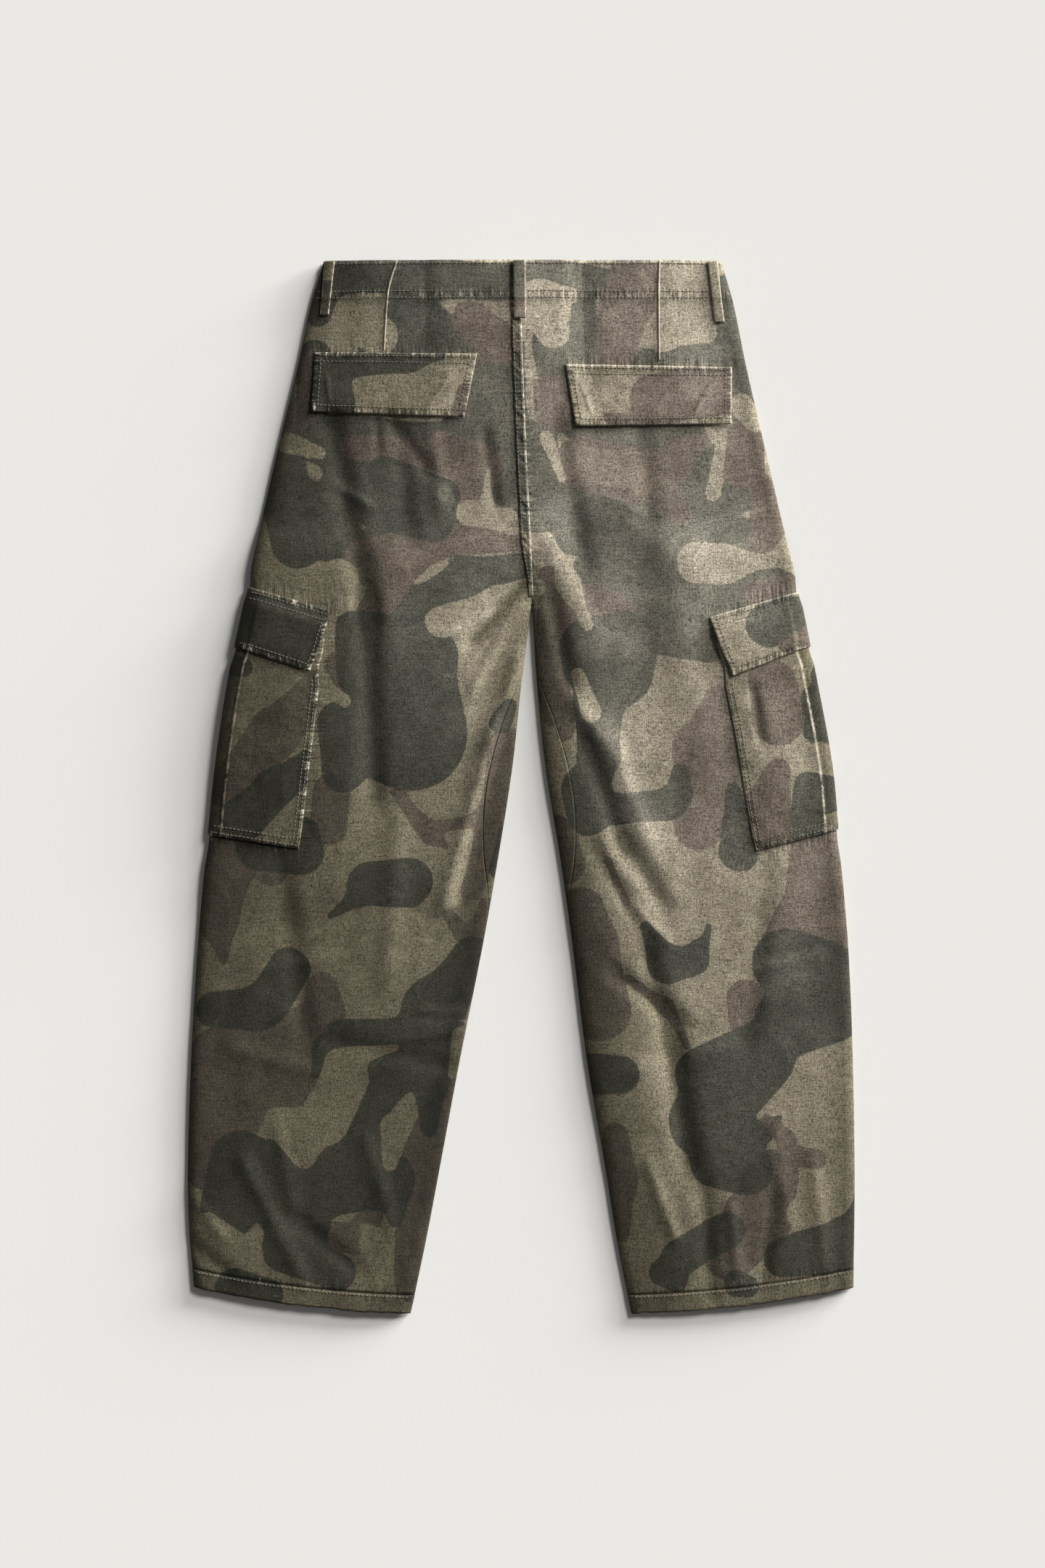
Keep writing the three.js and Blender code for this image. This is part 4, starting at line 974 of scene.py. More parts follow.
for place, quad in BACK_LOOPS.items():
    stand = OVER_SEAM if place == "centre" else 0.0
    loop(f"belt_loop_back_{place}", 1, quad, stand, LOOP_BOW, LOOP_WALL, (44, 14))
for leg in ("left", "right"):
    middle, half = -INWARD[leg] * FRONT_LOOP["x"], FRONT_LOOP["half"]
    top, bottom = FRONT_LOOP["top"], FRONT_LOOP["bottom"]
    quad = ((middle - half, top), (middle + half, top), (middle + half, bottom), (middle - half, bottom))
    loop(f"belt_loop_front_{leg}", -1, quad, -FRONT_LOOP_DROP, FRONT_LOOP_BOW, FRONT_LOOP_WALL, (30, 10))

# %% [markdown]
# ## Darts
#
# A dart takes width out of the waist: the cloth is folded on itself and sewn. From outside it shows
# as a thin ridge, which rubs to cream. It could be a line in the material, but the ridge throws a
# fine shadow, so it is a narrow rounded piece along a bent line.

# %% Two darts
DARTS = {
    "left": np.array([(-123.1, 0.6), (-131.6, 30.0), (-135.8, 89.0)]),
    "right": np.array([(136.4, 0.6), (135.6, 30.0), (136.2, 98.5)]),
}
DART_HALF, DART_WALL, DART_OUT, DART_EDGE = 1.0, 0.9, 0.25, 0.1


def dart(side):
    """The fold of a stitched dart: a thin rounded ridge along a bent line, rubbed to cream."""
    line = DARTS[side]
    down = np.linspace(line[0, 1], line[-1, 1], 90)[:, None]
    across = np.linspace(-DART_HALF, DART_HALF, 7)[None, :]
    x = curve(line[:, 1], line[:, 0], down) + across
    round_top = DART_WALL * np.sqrt(np.maximum(1 - (across / DART_HALF) ** 2, 0)) + DART_EDGE
    out = DART_OUT + STRIP_UNEVEN * noise(down, across * 0.1, 4, 3)
    fields = {**back_fields(x, down), "worn": 0.75 + 0.35 * noise(down, across, 4, 5)}
    outside, inside = on_panels(1, x, down, out + round_top), on_panels(1, x, down, out)
    return cloth(f"dart_{side}", outside, inside, fields)


for side in DARTS:
    dart(side)

# %% [markdown]
# ## The felled seat seam and the fly lap
#
# In a felled seam the two edges are folded into each other and sewn twice, which makes a raised
# strip. It shrinks more than the cloth, so it twists into a rope of slanted ripples, and its crests
# rub pale. Noise that is shifted along the seam by the distance across it gives that slant. Near the
# crotch the strip narrows, because four layers meet there. The fly lap on the hidden front is the
# same kind of strip, but wide and smooth.

# %% Strips beside the centre seam
FELL_TAPER, TAPER_LENGTH, THIN_LENGTH = 0.7, 60.0, 14.0
ROPE_SLANT, ROPE_LENGTH, LAP_PRINT_SHIFT = 1.1, 4.6, 60.0


def strip_left(spec, taper, down):
    """Left edge of a centre strip, drawn in towards the seam over its last part."""
    return spec["left"] * (1 - taper * smooth((down - spec["bottom"] + TAPER_LENGTH) / TAPER_LENGTH))


def centre_strip(name, face, spec, size, ropy, taper):
    """A strip beside the centre seam, rubbed most along its right edge. A ropy one has slanted ripples
    across it, with painted shade in their troughs. A tapered one narrows and thins towards its lower end."""
    s, t = np.linspace(0, 1, size[1])[None, :], np.linspace(0, 1, size[0])[:, None]
    down = mix(spec["top"], spec["bottom"], t) + 0 * s
    left = strip_left(spec, taper, down)
    across = mix(left, spec["right"], s)
    x = centre_x(down) + across
    to_side = np.minimum(across - left, spec["right"] - across)
    rope = ropy * noise(down - ROPE_SLANT * across, across * 0.05, ROPE_LENGTH, 3)
    thin = 1 - taper * smooth((down - spec["bottom"] + THIN_LENGTH) / THIN_LENGTH)
    top = LAYER_GAP + (spec["wall"] + rope - rounded(to_side, 1.0, 0.5)) * thin
    right_edge = np.exp(-(((spec["right"] - across) / 1.2) ** 2))
    left_edge = 0.35 * np.exp(-(((across - left) / 1.0) ** 2))
    rub = (right_edge + left_edge) * (0.85 + 0.5 * noise(down, across, 4, 4)) + 0.4 * np.maximum(rope, 0)
    base = back_fields(x, down) if face > 0 else front_fields(x + LAP_PRINT_SHIFT, down)
    # The strip is darkened to 0.8 throughout, and more in the troughs of its ripples as painted shade.
    strip_shade = 0.8 - np.clip(-1.3 * rope, 0, 0.5)
    fields = {**base, "worn": np.clip(rub, 0, 1), "fade": base["fade"] * strip_shade}
    return cloth(name, on_panels(face, x, down, top), on_panels(face, x, down, LAYER_GAP), fields)


centre_strip("felled_seat_seam", 1, FELL, size=(330, 18), ropy=0.6, taper=FELL_TAPER)
centre_strip("cloth_fly_lap", -1, FLY, size=(60, 22), ropy=0.0, taper=0.0)

# %% [markdown]
# ## Cargo pockets
#
# The bag and its flap wrap round the outer edge of the leg. The bag has an inverted pleat on that
# edge: its face stands proud and steps down into the pleat, which shows as a dark strip with a pale
# rubbed line beside it. The flap is sewn down along its top and climbs on to the bag. A separate box
# pushed against the leg would cut into its edge. So both pieces are skins of the leg too, moved out
# by a height that depends on the place, and they turn its edge with it.


# %% Surface of a wrapped piece
WRAP_ROUND, PLEAT_SHADE, PLEAT_RUB_WIDTH = 0.2, 0.6, 1.3
BAG_RELIEF, RELIEF_FROM, RELIEF_RAMP, RELIEF_LEAST = 0.35, 4.0, 8.0, -0.3
BAG_END, BAG_END_LOSS = 0.15, 0.5


def wrap_place(leg, spec, inward_share, t):
    """Plan point, distance in from the outer edge, and width of the piece there. The share is 0 on
    the outer edge and 1 at the piece's inner end."""
    outer_down = mix(spec["outer_top"], spec["outer_bottom"], t)
    inner_down = mix(spec["inner_top"], spec["inner_bottom"], t)
    width = np.abs(mix(spec["inner_top_x"], spec["inner_bottom_x"], t) - outer_x(leg, outer_down))
    inward = edge_first(inward_share, width, part=WRAP_ROUND)
    down = mix(outer_down, inner_down, inward / width)
    return outer_x(leg, down) + INWARD[leg] * inward, down, inward, width


def bag_rise(inward, width, t, face):
    """Height of the bag's face: it rises from its sewn inner edge, drops into the pleat, and is lower
    at its lower end."""
    step = smooth((inward - EDGE_RADIUS) / PLEAT_STEP)
    shoulder = smooth((width - inward) / BAG_SHOULDER)
    lower_end = 1 - BAG_END_LOSS * smooth((t - 1 + BAG_END) / BAG_END)
    return np.where(face > 0, BAG_RISE * step * shoulder * lower_end, 0.0)


def flap_rise(inward, width, t, face):
    """Height of the flap: down on the leg along its top, on the bag below."""
    step = smooth((inward - EDGE_RADIUS + 2) / (PLEAT_STEP + 2))
    return (BAG_WALL + LAYER_GAP + np.where(face > 0, BAG_RISE * step, 0.0)) * smooth(t / FLAP_CLIMB)


WRAPS = {"bag": (BAG_WALL, bag_rise, 96), "flap": (FLAP_WALL, flap_rise, 44)}
WRAP_COLUMNS = 150


def wrapped_at(leg, piece, inward_share, t, face):
    """Everything about a point of a wrapped piece: its place, its distances to the piece's sides and
    ends, a length along its edges, and how far its underside is from the leg."""
    spec, rise = CARGO[leg][piece], WRAPS[piece][1]
    x, down, inward, width = wrap_place(leg, spec, inward_share, t)
    height = spec["outer_bottom"] - spec["outer_top"]
    to_side = width - inward
    to_end = np.minimum(t, 1 - t) * height + 0 * inward
    along = inward + t * height
    to_edge = np.minimum(to_side, to_end)
    relief = edge_ripple(to_edge, along, 2) + BAG_RELIEF * noise(x, down, 16, 5) * smooth(to_edge / 9)
    relief = np.maximum(np.where(face > 0, relief, 0.0), RELIEF_LEAST)
    out = LAYER_GAP + rise(inward, width, t, face) + relief * smooth((inward - RELIEF_FROM) / RELIEF_RAMP)
    return x, down, inward, to_side, to_end, along, out


def wrapped(leg, piece):
    """Closed cloth from the inner end on the back, over the outer edge, to the inner end on the front."""
    wall, _, rows = WRAPS[piece]
    u, t = np.linspace(-1, 1, WRAP_COLUMNS)[None, :], np.linspace(0, 1, rows)[:, None]
    face = np.where(u < 0, 1.0, -1.0)
    x, down, inward, to_side, to_end, along, out = wrapped_at(leg, piece, np.abs(u), t, face)
    fields = pocket_fields(POCKET_PRINTS[f"cargo_{piece}_{leg}"], x, down, to_side, to_end, along)
    fields["fade"] = np.where(face > 0, fields["fade"], FRONT_FADE)
    if piece == "bag":
        from_pleat = inward - EDGE_RADIUS - PLEAT_STEP
        rub = np.exp(-((from_pleat / PLEAT_RUB_WIDTH) ** 2)) * (0.8 + 0.4 * noise(along, inward, 5, 6))
        fields["worn"] = np.clip(np.maximum(fields["worn"], np.where(face > 0, rub, 0.0)), 0, 1)
        in_pleat = (face > 0) & (inward < EDGE_RADIUS + 1)
        fields["fade"] = fields["fade"] * np.where(in_pleat, PLEAT_SHADE, 1.0)
    top = out + wall - rounded(np.minimum(to_side, to_end), 0.9, 0.5)
    outside, inside = skin(leg, face, x, down, -top), skin(leg, face, x, down, -out)
    return cloth(f"pocket_{piece}_{leg}", outside, inside, fields)


for leg in ("left", "right"):
    wrapped(leg, "bag")
    wrapped(leg, "flap")

# %% [markdown]
# ## Stitches
#
# A seam shows as a row of short thread ends on the cloth. They could be drawn in the material, but
# then they would cast no shadow and would smear where the cloth turns. Here each stitch is a small
# bead-shaped bar, and a row of them follows a line on the cloth. All the stitches of the body are one
# mesh, and those of the pockets another.

# %% One stitch and a row of stitches
STITCH_LENGTH, STITCH_GAP, THREAD = 2.9, 1.1, 0.42
SIDES = 6
RING_AT = np.array([-0.46, -0.2, 0.2, 0.46])
RING_SIZE = np.array([0.55, 1.0, 1.0, 0.55])


def stitch_bar():
    """Points of one bar along x: four rings of six points, thick in the middle, and its quads. Each
    end is closed by two quads."""
    angle = np.arange(SIDES) * 2 * np.pi / SIDES
    ring = np.stack([np.zeros(SIDES), np.cos(angle), np.sin(angle)], 1)
    rings = [ring * size * THREAD + [at * STITCH_LENGTH, 0, 0] for at, size in zip(RING_AT, RING_SIZE)]
    k = np.arange(SIDES)
    after = (k + 1) % SIDES
    last = (len(rings) - 1) * SIDES
    starts = range(0, last, SIDES)
    quads = [np.stack([n + k, n + after, n + SIDES + after, n + SIDES + k], 1) for n in starts]
    first_cap = np.array([[0, 5, 4, 3], [0, 3, 2, 1]])
    last_cap = np.array([[0, 1, 2, 3], [0, 3, 4, 5]]) + last
    return np.concatenate(rings), np.concatenate([*quads, first_cap, last_cap])


def resample(path, step):
    """Even points along a polyline, one step apart, with the direction at each."""
    length = np.concatenate([[0], np.cumsum(np.linalg.norm(np.diff(path, axis=0), axis=1))])
    at = np.arange(step / 2, length[-1], step)
    here = np.stack([np.interp(at, length, path[:, n]) for n in range(3)], 1)
    ahead = np.stack([np.interp(at + 0.5, length, path[:, n]) for n in range(3)], 1)
    behind = np.stack([np.interp(at - 0.5, length, path[:, n]) for n in range(3)], 1)
    way = ahead - behind
    return here, way / np.linalg.norm(way, axis=1, keepdims=True)


def stitch_rows(name, paths):
    """One mesh of all the stitches along some paths, each bar turned along its path and to the sky."""
    bar, quads = stitch_bar()
    points, faces, count = [], [], 0
    for path in paths:
        here, way = resample(path, STITCH_LENGTH + STITCH_GAP)
        side = np.cross([0.0, 0.0, 1.0], way)
        side /= np.linalg.norm(side, axis=1, keepdims=True)
        up = np.cross(way, side)
        axes = np.stack([way, side, up], axis=1)
        placed = here[:, None, :] + np.einsum("pk,nkc->npc", bar, axes)
        points.append(placed.reshape(-1, 3))
        offset = (count + np.arange(len(here)) * len(bar))[:, None, None]
        faces.append((quads[None] + offset).reshape(-1, 4))
        count += len(here) * len(bar)
    print(name, count // len(bar), "stitches")
    return mesh_object(name, np.concatenate(points), np.concatenate(faces))


# %% Paths of the stitches
THREAD_OUT, HEM_STITCH_DOWN = 0.12, 2.0


def on_back(x, down, out=THREAD_OUT):
    """Path on the back panels."""
    return on_panels(1, x, down, out)


def flap_path(leg, corners):
    """Path on a back flap, through points given as (share across, share down)."""
    parts = []
    for (s0, t0), (s1, t1) in zip(corners[:-1], corners[1:]):
        k = np.linspace(0, 1, 60)
        s, t = mix(s0, s1, k), mix(t0, t1, k)
        x, down = in_quad(BACK_FLAPS[leg], s, t)
        to_side, to_end, along = edge_distances(BACK_FLAPS[leg], s, t)
        out = back_flap_out(s, t, np.minimum(to_side, to_end), along)
        parts.append(on_panels(1, x, down, out + BACK_FLAP_WALL + THREAD_OUT))
    return np.concatenate(parts)


def wrapped_path(leg, piece, corners):
    """Path on the back half of a wrapped piece, through points given as (share in, share down)."""
    k = np.linspace(0, 1, 120)
    parts = []
    for (u0, t0), (u1, t1) in zip(corners[:-1], corners[1:]):
        x, down, *_, out = wrapped_at(leg, piece, mix(u0, u1, k), mix(t0, t1, k), 1.0)
        parts.append(skin(leg, 1, x, down, -(out + WRAPS[piece][0] + THREAD_OUT)))
    return np.concatenate(parts)


def hem_path(leg):
    """Row of the hem's stitches, a little below its upper edge."""
    share = np.linspace(0.02, 0.98, 240)[None, :]
    row = np.full_like(share, LEG_LENGTH - HEM_DEPTH + HEM_STITCH_DOWN)
    x, down = row_place(leg, row, share * row_width(leg, row))
    return skin(leg, 1, x, down, -HEM_PROUD - THREAD_OUT)[0]


# %% Sew everything
WAIST_ROWS, WAIST_ENDS, WAIST_IN = (3.2, 30.5, 37.0), {"left": -10.0, "right": 6.0}, 3.0
FELL_ROWS_FROM, FELL_LEFT_IN, FELL_RIGHT_IN, FELL_ROW_OUT = 60.0, 1.6, 2.2, 0.1
BACK_FLAP_ROWS = [[(0.02, 0.05), (0.98, 0.05)], [(0.02, 0.15), (0.98, 0.15)],
                  [(0.04, 0.1), (0.04, 0.89), (0.96, 0.89), (0.96, 0.1)]]
WRAP_ROWS = {
    "flap": [[(0.1, 0.07), (0.97, 0.07)], [(0.1, 0.17), (0.97, 0.17)],
             [(0.94, 0.2), (0.94, 0.9), (0.1, 0.9)]],
    "bag": [[(0.97, 0.18), (0.97, 0.985), (0.1, 0.985)], [(0.93, 0.2), (0.93, 0.955), (0.1, 0.955)]],
}
body_paths = []
for leg in ("left", "right"):
    for line in WAIST_ROWS:
        ends = sorted((float(outer_x(leg, line)) + INWARD[leg] * WAIST_IN, WAIST_ENDS[leg]))
        body_paths.append(on_back(np.linspace(*ends, 260), line))
    body_paths.append(hem_path(leg))
seam_down = np.linspace(FELL_ROWS_FROM, FELL["bottom"] - THIN_LENGTH, 200)
seam_out = LAYER_GAP + FELL["wall"] + FELL_ROW_OUT
for from_seam in (strip_left(FELL, FELL_TAPER, seam_down) + FELL_LEFT_IN, FELL["right"] - FELL_RIGHT_IN):
    body_paths.append(on_back(centre_x(seam_down) + from_seam, seam_down, seam_out))
stitch_rows("stitches_body", body_paths)

pocket_paths = []
for leg in ("left", "right"):
    pocket_paths += [flap_path(leg, corners) for corners in BACK_FLAP_ROWS]
    for piece, rows in WRAP_ROWS.items():
        pocket_paths += [wrapped_path(leg, piece, corners) for corners in rows]
stitch_rows("stitches_pockets", pocket_paths)

# %% [markdown]
# ## Shader groups
#
# Several materials share the same effects, so each effect is a node group: the woven relief of the
# canvas, its speckled heather look, the three colours of the print, the puckers beside seams, and
# the cream of rubbed edges. Photographs of cloth would give these too, but they would tie the
# garment to one size and one light. Each group puts out colours, values or heights.


# %% Helpers for node groups
def new_group(name, inputs, outputs):
    """An empty shader group with its sockets, its input and its output node."""
    group = bpy.data.node_groups.new(name, "ShaderNodeTree")
    for socket, kind, default in inputs:
        item = group.interface.new_socket(name=socket, in_out="INPUT", socket_type=kind)
        item.default_value = default
    for socket, kind in outputs:
        group.interface.new_socket(name=socket, in_out="OUTPUT", socket_type=kind)
    return group, group.nodes.new("NodeGroupInput"), group.nodes.new("NodeGroupOutput")


def math_node(tree, operation, a, b=None, clamp=False):
    """A Math node whose inputs are sockets or numbers."""
    node = tree.nodes.new("ShaderNodeMath")
    node.operation = operation
    node.use_clamp = clamp
    for n, value in enumerate((a, b)):
        if value is None:
            continue
        if isinstance(value, (int, float)):
            node.inputs[n].default_value = value
        else:
            tree.links.new(value, node.inputs[n])
    return node.outputs[0]


def plus(tree, a, b, clamp=False):
    """Sum of two values."""
    return math_node(tree, "ADD", a, b, clamp)


def minus(tree, a, b, clamp=False):
    """Difference of two values."""
    return math_node(tree, "SUBTRACT", a, b, clamp)


def times(tree, a, b, clamp=False):
    """Product of two values."""
    return math_node(tree, "MULTIPLY", a, b, clamp)


def mix_colour(tree, share, a, b, blend="MIX"):
    """A colour Mix node whose colours are sockets or RGB values."""
    node = tree.nodes.new("ShaderNodeMix")
    node.data_type = "RGBA"
    node.blend_type = blend
    sockets = {s.identifier: s for s in node.inputs}
    for key, value in (("Factor_Float", share), ("A_Color", a), ("B_Color", b)):
        if isinstance(value, tuple):
            sockets[key].default_value = (*value, 1.0)
        elif isinstance(value, (int, float)):
            sockets[key].default_value = value
        else:
            tree.links.new(value, sockets[key])
    return next(s for s in node.outputs if s.identifier == "Result_Color")


def stretched(tree, vector, scale):
    """A vector scaled differently along each axis."""
    node = tree.nodes.new("ShaderNodeMapping")
    node.inputs["Scale"].default_value = scale
    tree.links.new(vector, node.inputs["Vector"])
    return node.outputs["Vector"]


def noise_node(tree, vector, scale, detail=2.0, rough=0.5):
    """A Noise Texture on a vector."""
    node = tree.nodes.new("ShaderNodeTexNoise")
    node.inputs["Scale"].default_value = scale
    node.inputs["Detail"].default_value = detail
    node.inputs["Roughness"].default_value = rough
    tree.links.new(vector, node.inputs["Vector"])
    return node.outputs["Fac"]

# %% [markdown]
# ## Speckle of the yarns
#
# Faded canvas isn't one colour: each yarn has kept a different share of its dye. Two sizes of noise
# stand for the yarns, and noise stretched along either thread direction stands for slubs. The same
# sum is used as a height too, so that dark yarns also lie a little lower.

# %% Heather group
YARN_NOISE = ((900.0, 0.75, 1.15), (540.0, 0.6, 0.8))
SLUB_NOISE = (((90.0, 950.0, 90.0), 0.4), ((950.0, 110.0, 110.0), 0.4))
DARKEST_YARN = 0.3


def heather_group():
    """Speckle that multiplies the colour: two sizes of noise for yarns, and long thin streaks both
    ways for slubs. Value is 1 + strength * (their weighted sum - its middle)."""
    tree, gin, gout = new_group(
        "heather", [("Vector", "NodeSocketVector", (0, 0, 0)), ("Strength", "NodeSocketFloat", 1.0)],
        [("Value", "NodeSocketFloat"), ("Height", "NodeSocketFloat")])
    vector = gin.outputs["Vector"]
    parts = []
    for scale, rough, weight in YARN_NOISE:
        parts.append(times(tree, noise_node(tree, vector, scale, 2.0, rough), weight))
    for scale, weight in SLUB_NOISE:
        streaks = noise_node(tree, stretched(tree, vector, scale), 1.0, 1.0, 0.5)
        parts.append(times(tree, streaks, weight))
    total = parts[0]
    for part in parts[1:]:
        total = plus(tree, total, part)
    middle = sum(row[-1] for row in YARN_NOISE + SLUB_NOISE) / 2
    speckle = plus(tree, times(tree, minus(tree, total, middle), gin.outputs["Strength"]), 1.0)
    tree.links.new(math_node(tree, "MAXIMUM", speckle, DARKEST_YARN), gout.inputs["Value"])
    tree.links.new(total, gout.inputs["Height"])
    return tree

# %% [markdown]
# ## Colours of the print
#
# The printed shapes have sharp, slightly ragged borders, because the ink creeps along the yarns. A
# colour stored at each point would blur over the width of a grid cell. A stored distance doesn't: a
# steep ramp turns it into a border that is as sharp as wanted, and noise added to it makes it ragged.

# %% Print group: distances to colours
RAG_WIDTH, EDGE_STEEPNESS = 2.2, 0.9
WASH_AND_LIGHT_FROM, WASH_AND_LIGHT_RATE, FADE_AND_SHADE_WARMTH = 0.6, 0.6, 1.14
DOUBLE_INK, DOUBLE_SHARE = (0.8, 0.79, 0.8), 0.85


def print_group():
    """Khaki ground, brown over it and green over both, darker where inks overlap. An edge is a steep
    ramp of the distance. Where the stored fade and painted light are high the inks are mixed towards
    khaki. That value then multiplies the colour, a little more in its blue, which lays its painted light
    and shade into the colour."""
    tree, gin, gout = new_group(
        "camouflage_print",
        [("Green", "NodeSocketFloat", -5.0), ("Brown", "NodeSocketFloat", -5.0),
         ("Overlap", "NodeSocketFloat", -5.0), ("Fade", "NodeSocketFloat", 1.0),
         ("Ragged", "NodeSocketFloat", 0.5), ("Undercut", "NodeSocketFloat", 0.8),
         ("Washed out", "NodeSocketFloat", 1.0),
         ("Khaki colour", "NodeSocketColor", (0.4, 0.4, 0.3, 1)),
         ("Brown colour", "NodeSocketColor", (0.3, 0.2, 0.2, 1)),
         ("Green colour", "NodeSocketColor", (0.2, 0.2, 0.1, 1))],
        [("Color", "NodeSocketColor")])
    khaki, fade = gin.outputs["Khaki colour"], gin.outputs["Fade"]
    rag = times(tree, minus(tree, gin.outputs["Ragged"], 0.5), RAG_WIDTH)

    def edge(distance):
        """Share of an ink at a distance inside it, with a ragged border."""
        steep = times(tree, plus(tree, distance, rag), EDGE_STEEPNESS)
        return plus(tree, steep, 0.5, clamp=True)

    # The inks lighten towards khaki with the stored value: washed-out dye in part, painted light in part.
    washed = times(tree, minus(tree, fade, WASH_AND_LIGHT_FROM), WASH_AND_LIGHT_RATE, clamp=True)
    washed = times(tree, washed, gin.outputs["Washed out"])
    brown = mix_colour(tree, washed, gin.outputs["Brown colour"], khaki)
    green = mix_colour(tree, washed, gin.outputs["Green colour"], khaki)
    under = plus(tree, gin.outputs["Brown"], gin.outputs["Undercut"])
    colour = mix_colour(tree, edge(under), khaki, brown)
    colour = mix_colour(tree, edge(gin.outputs["Green"]), colour, green)
    double = times(tree, edge(gin.outputs["Overlap"]), DOUBLE_SHARE)
    darker = mix_colour(tree, 1.0, colour, DOUBLE_INK, "MULTIPLY")
    colour = mix_colour(tree, double, colour, darker)
    # Multiplying by the stored value paints its light and shade into the colour.
    grey = tree.nodes.new("ShaderNodeCombineColor")
    warm = math_node(tree, "POWER", fade, FADE_AND_SHADE_WARMTH)
    for n, value in enumerate((fade, fade, warm)):
        tree.links.new(value, grey.inputs[n])
    faded = mix_colour(tree, 1.0, colour, grey.outputs["Color"], "MULTIPLY")
    tree.links.new(faded, gout.inputs["Color"])
    return tree

# %% [markdown]
# ## Rubbed edges, weave and puckers
#
# Raised edges lose their dye to rubbing, in patches that follow the yarns, so the stored wear is
# broken up by noise before it shows. Canvas has a fine diagonal rib, which two sine waves draw. The
# puckers beside a seam are noise squeezed along the seam. All three are too fine for the mesh.

# %% Wear, weave and pucker groups
WEAR_NOISE, WEAR_SPREAD, WEAR_FROM, WEAR_RATE, WEAR_GATE = 420.0, 1.3, 0.3, 1.7, 2.5
RIBS, RIB_SLANT, PICKS, PICK_SHARE = 5200.0, 0.6, 7400.0, 0.5
PUCKER_SHORT, PUCKER_LONG, PUCKER_STRENGTH, RUB_SHARE, TROUGH_SHADE_SHARE = 250.0, 40.0, 4.5, 0.85, -1.1


def wear_group():
    """Cream where the worn value is high, broken up by noise so that it looks rubbed."""
    tree, gin, gout = new_group(
        "edge_wear", [("Vector", "NodeSocketVector", (0, 0, 0)), ("Worn", "NodeSocketFloat", 0.0),
                      ("Color", "NodeSocketColor", (0.5, 0.5, 0.5, 1)),
                      ("Rubbed colour", "NodeSocketColor", (0.6, 0.55, 0.45, 1))],
        [("Color", "NodeSocketColor")])
    worn = gin.outputs["Worn"]
    rough = noise_node(tree, gin.outputs["Vector"], WEAR_NOISE, 3.0, 0.7)
    mask = plus(tree, worn, times(tree, minus(tree, rough, 0.5), WEAR_SPREAD))
    steep = math_node(tree, "MINIMUM", times(tree, minus(tree, mask, WEAR_FROM), WEAR_RATE), 1.0)
    gate = times(tree, steep, times(tree, worn, WEAR_GATE, clamp=True), clamp=True)
    colour = mix_colour(tree, gate, gin.outputs["Color"], gin.outputs["Rubbed colour"])
    tree.links.new(colour, gout.inputs["Color"])
    return tree


def weave_group():
    """Height of a diagonal twill: the sum of a sine wave across its ribs and a weaker one for the
    threads that cross them."""
    tree, gin, gout = new_group("twill_weave", [("Vector", "NodeSocketVector", (0, 0, 0))],
                                [("Height", "NodeSocketFloat")])
    split = tree.nodes.new("ShaderNodeSeparateXYZ")
    tree.links.new(gin.outputs["Vector"], split.inputs[0])
    diagonal = plus(tree, split.outputs["X"], times(tree, split.outputs["Y"], RIB_SLANT))
    ribs = math_node(tree, "SINE", times(tree, diagonal, RIBS))
    picks = math_node(tree, "SINE", times(tree, split.outputs["Y"], PICKS))
    tree.links.new(plus(tree, ribs, times(tree, picks, PICK_SHARE)), gout.inputs["Height"])
    return tree


def pucker_group():
    """Ripples beside stitches: noise stretched across the seam, scaled by the stored strength. The
    height makes the relief, Rub is high on the crests, and the third output is high in the troughs,
    where it darkens the colour as painted shade."""
    tree, gin, gout = new_group(
        "seam_puckers", [("Vector", "NodeSocketVector", (0, 0, 0)), ("Across", "NodeSocketFloat", 0.0),
                         ("Down", "NodeSocketFloat", 0.0)],
        [("Height", "NodeSocketFloat"), ("Rub", "NodeSocketFloat"), ("Painted trough shade", "NodeSocketFloat")])
    parts = []
    for socket, axis in (("Across", 0), ("Down", 1)):
        scale = [PUCKER_LONG] * 3
        scale[axis] = PUCKER_SHORT
        ripple = noise_node(tree, stretched(tree, gin.outputs["Vector"], scale), 1.0, 1.5, 0.55)
        centred = times(tree, minus(tree, ripple, 0.5), PUCKER_STRENGTH)
        parts.append(times(tree, centred, gin.outputs[socket]))
    height = plus(tree, *parts)
    tree.links.new(height, gout.inputs["Height"])
    tree.links.new(times(tree, height, RUB_SHARE, clamp=True), gout.inputs["Rub"])
    tree.links.new(times(tree, height, TROUGH_SHADE_SHARE, clamp=True), gout.inputs["Painted trough shade"])
    return tree


HEATHER, PRINT, WEAR = heather_group(), print_group(), wear_group()
WEAVE, PUCKER = weave_group(), pucker_group()
print("groups:", [group.name for group in (HEATHER, PRINT, WEAR, WEAVE, PUCKER)])

# %% [markdown]
# ## Materials
#
# The canvas is one recipe with different values: the panels, the pockets, which were dyed a little
# darker and are less washed out, and the strips. Separate materials made by hand would drift apart
# in colour. Real thread and a moulded button have no print, so theirs are simpler.

# %% Canvas recipe
INKS = {"Khaki colour": (0.385, 0.335, 0.252), "Brown colour": (0.205, 0.165, 0.135),
        "Green colour": (0.108, 0.106, 0.085)}
RUBBED, RUBBED_EDGE = (0.36, 0.32, 0.245), (0.43, 0.385, 0.3)
TROUGH_SHADE_TINT = (0.42, 0.42, 0.42)
SPECKLE = 2.7
RAG_NOISE, WEAVE_SHARE = 700.0, 0.12
WEAVE_HEIGHT, WEAVE_STRENGTH, RIPPLE_HEIGHT = 0.0006, 0.35, 0.0005
THREAD_COLOUR, THREAD_SHADE = (0.22, 0.2, 0.15), (0.12, 0.11, 0.08)
BUTTON_COLOURS = ((0.035, 0.03, 0.026), (0.075, 0.065, 0.055))


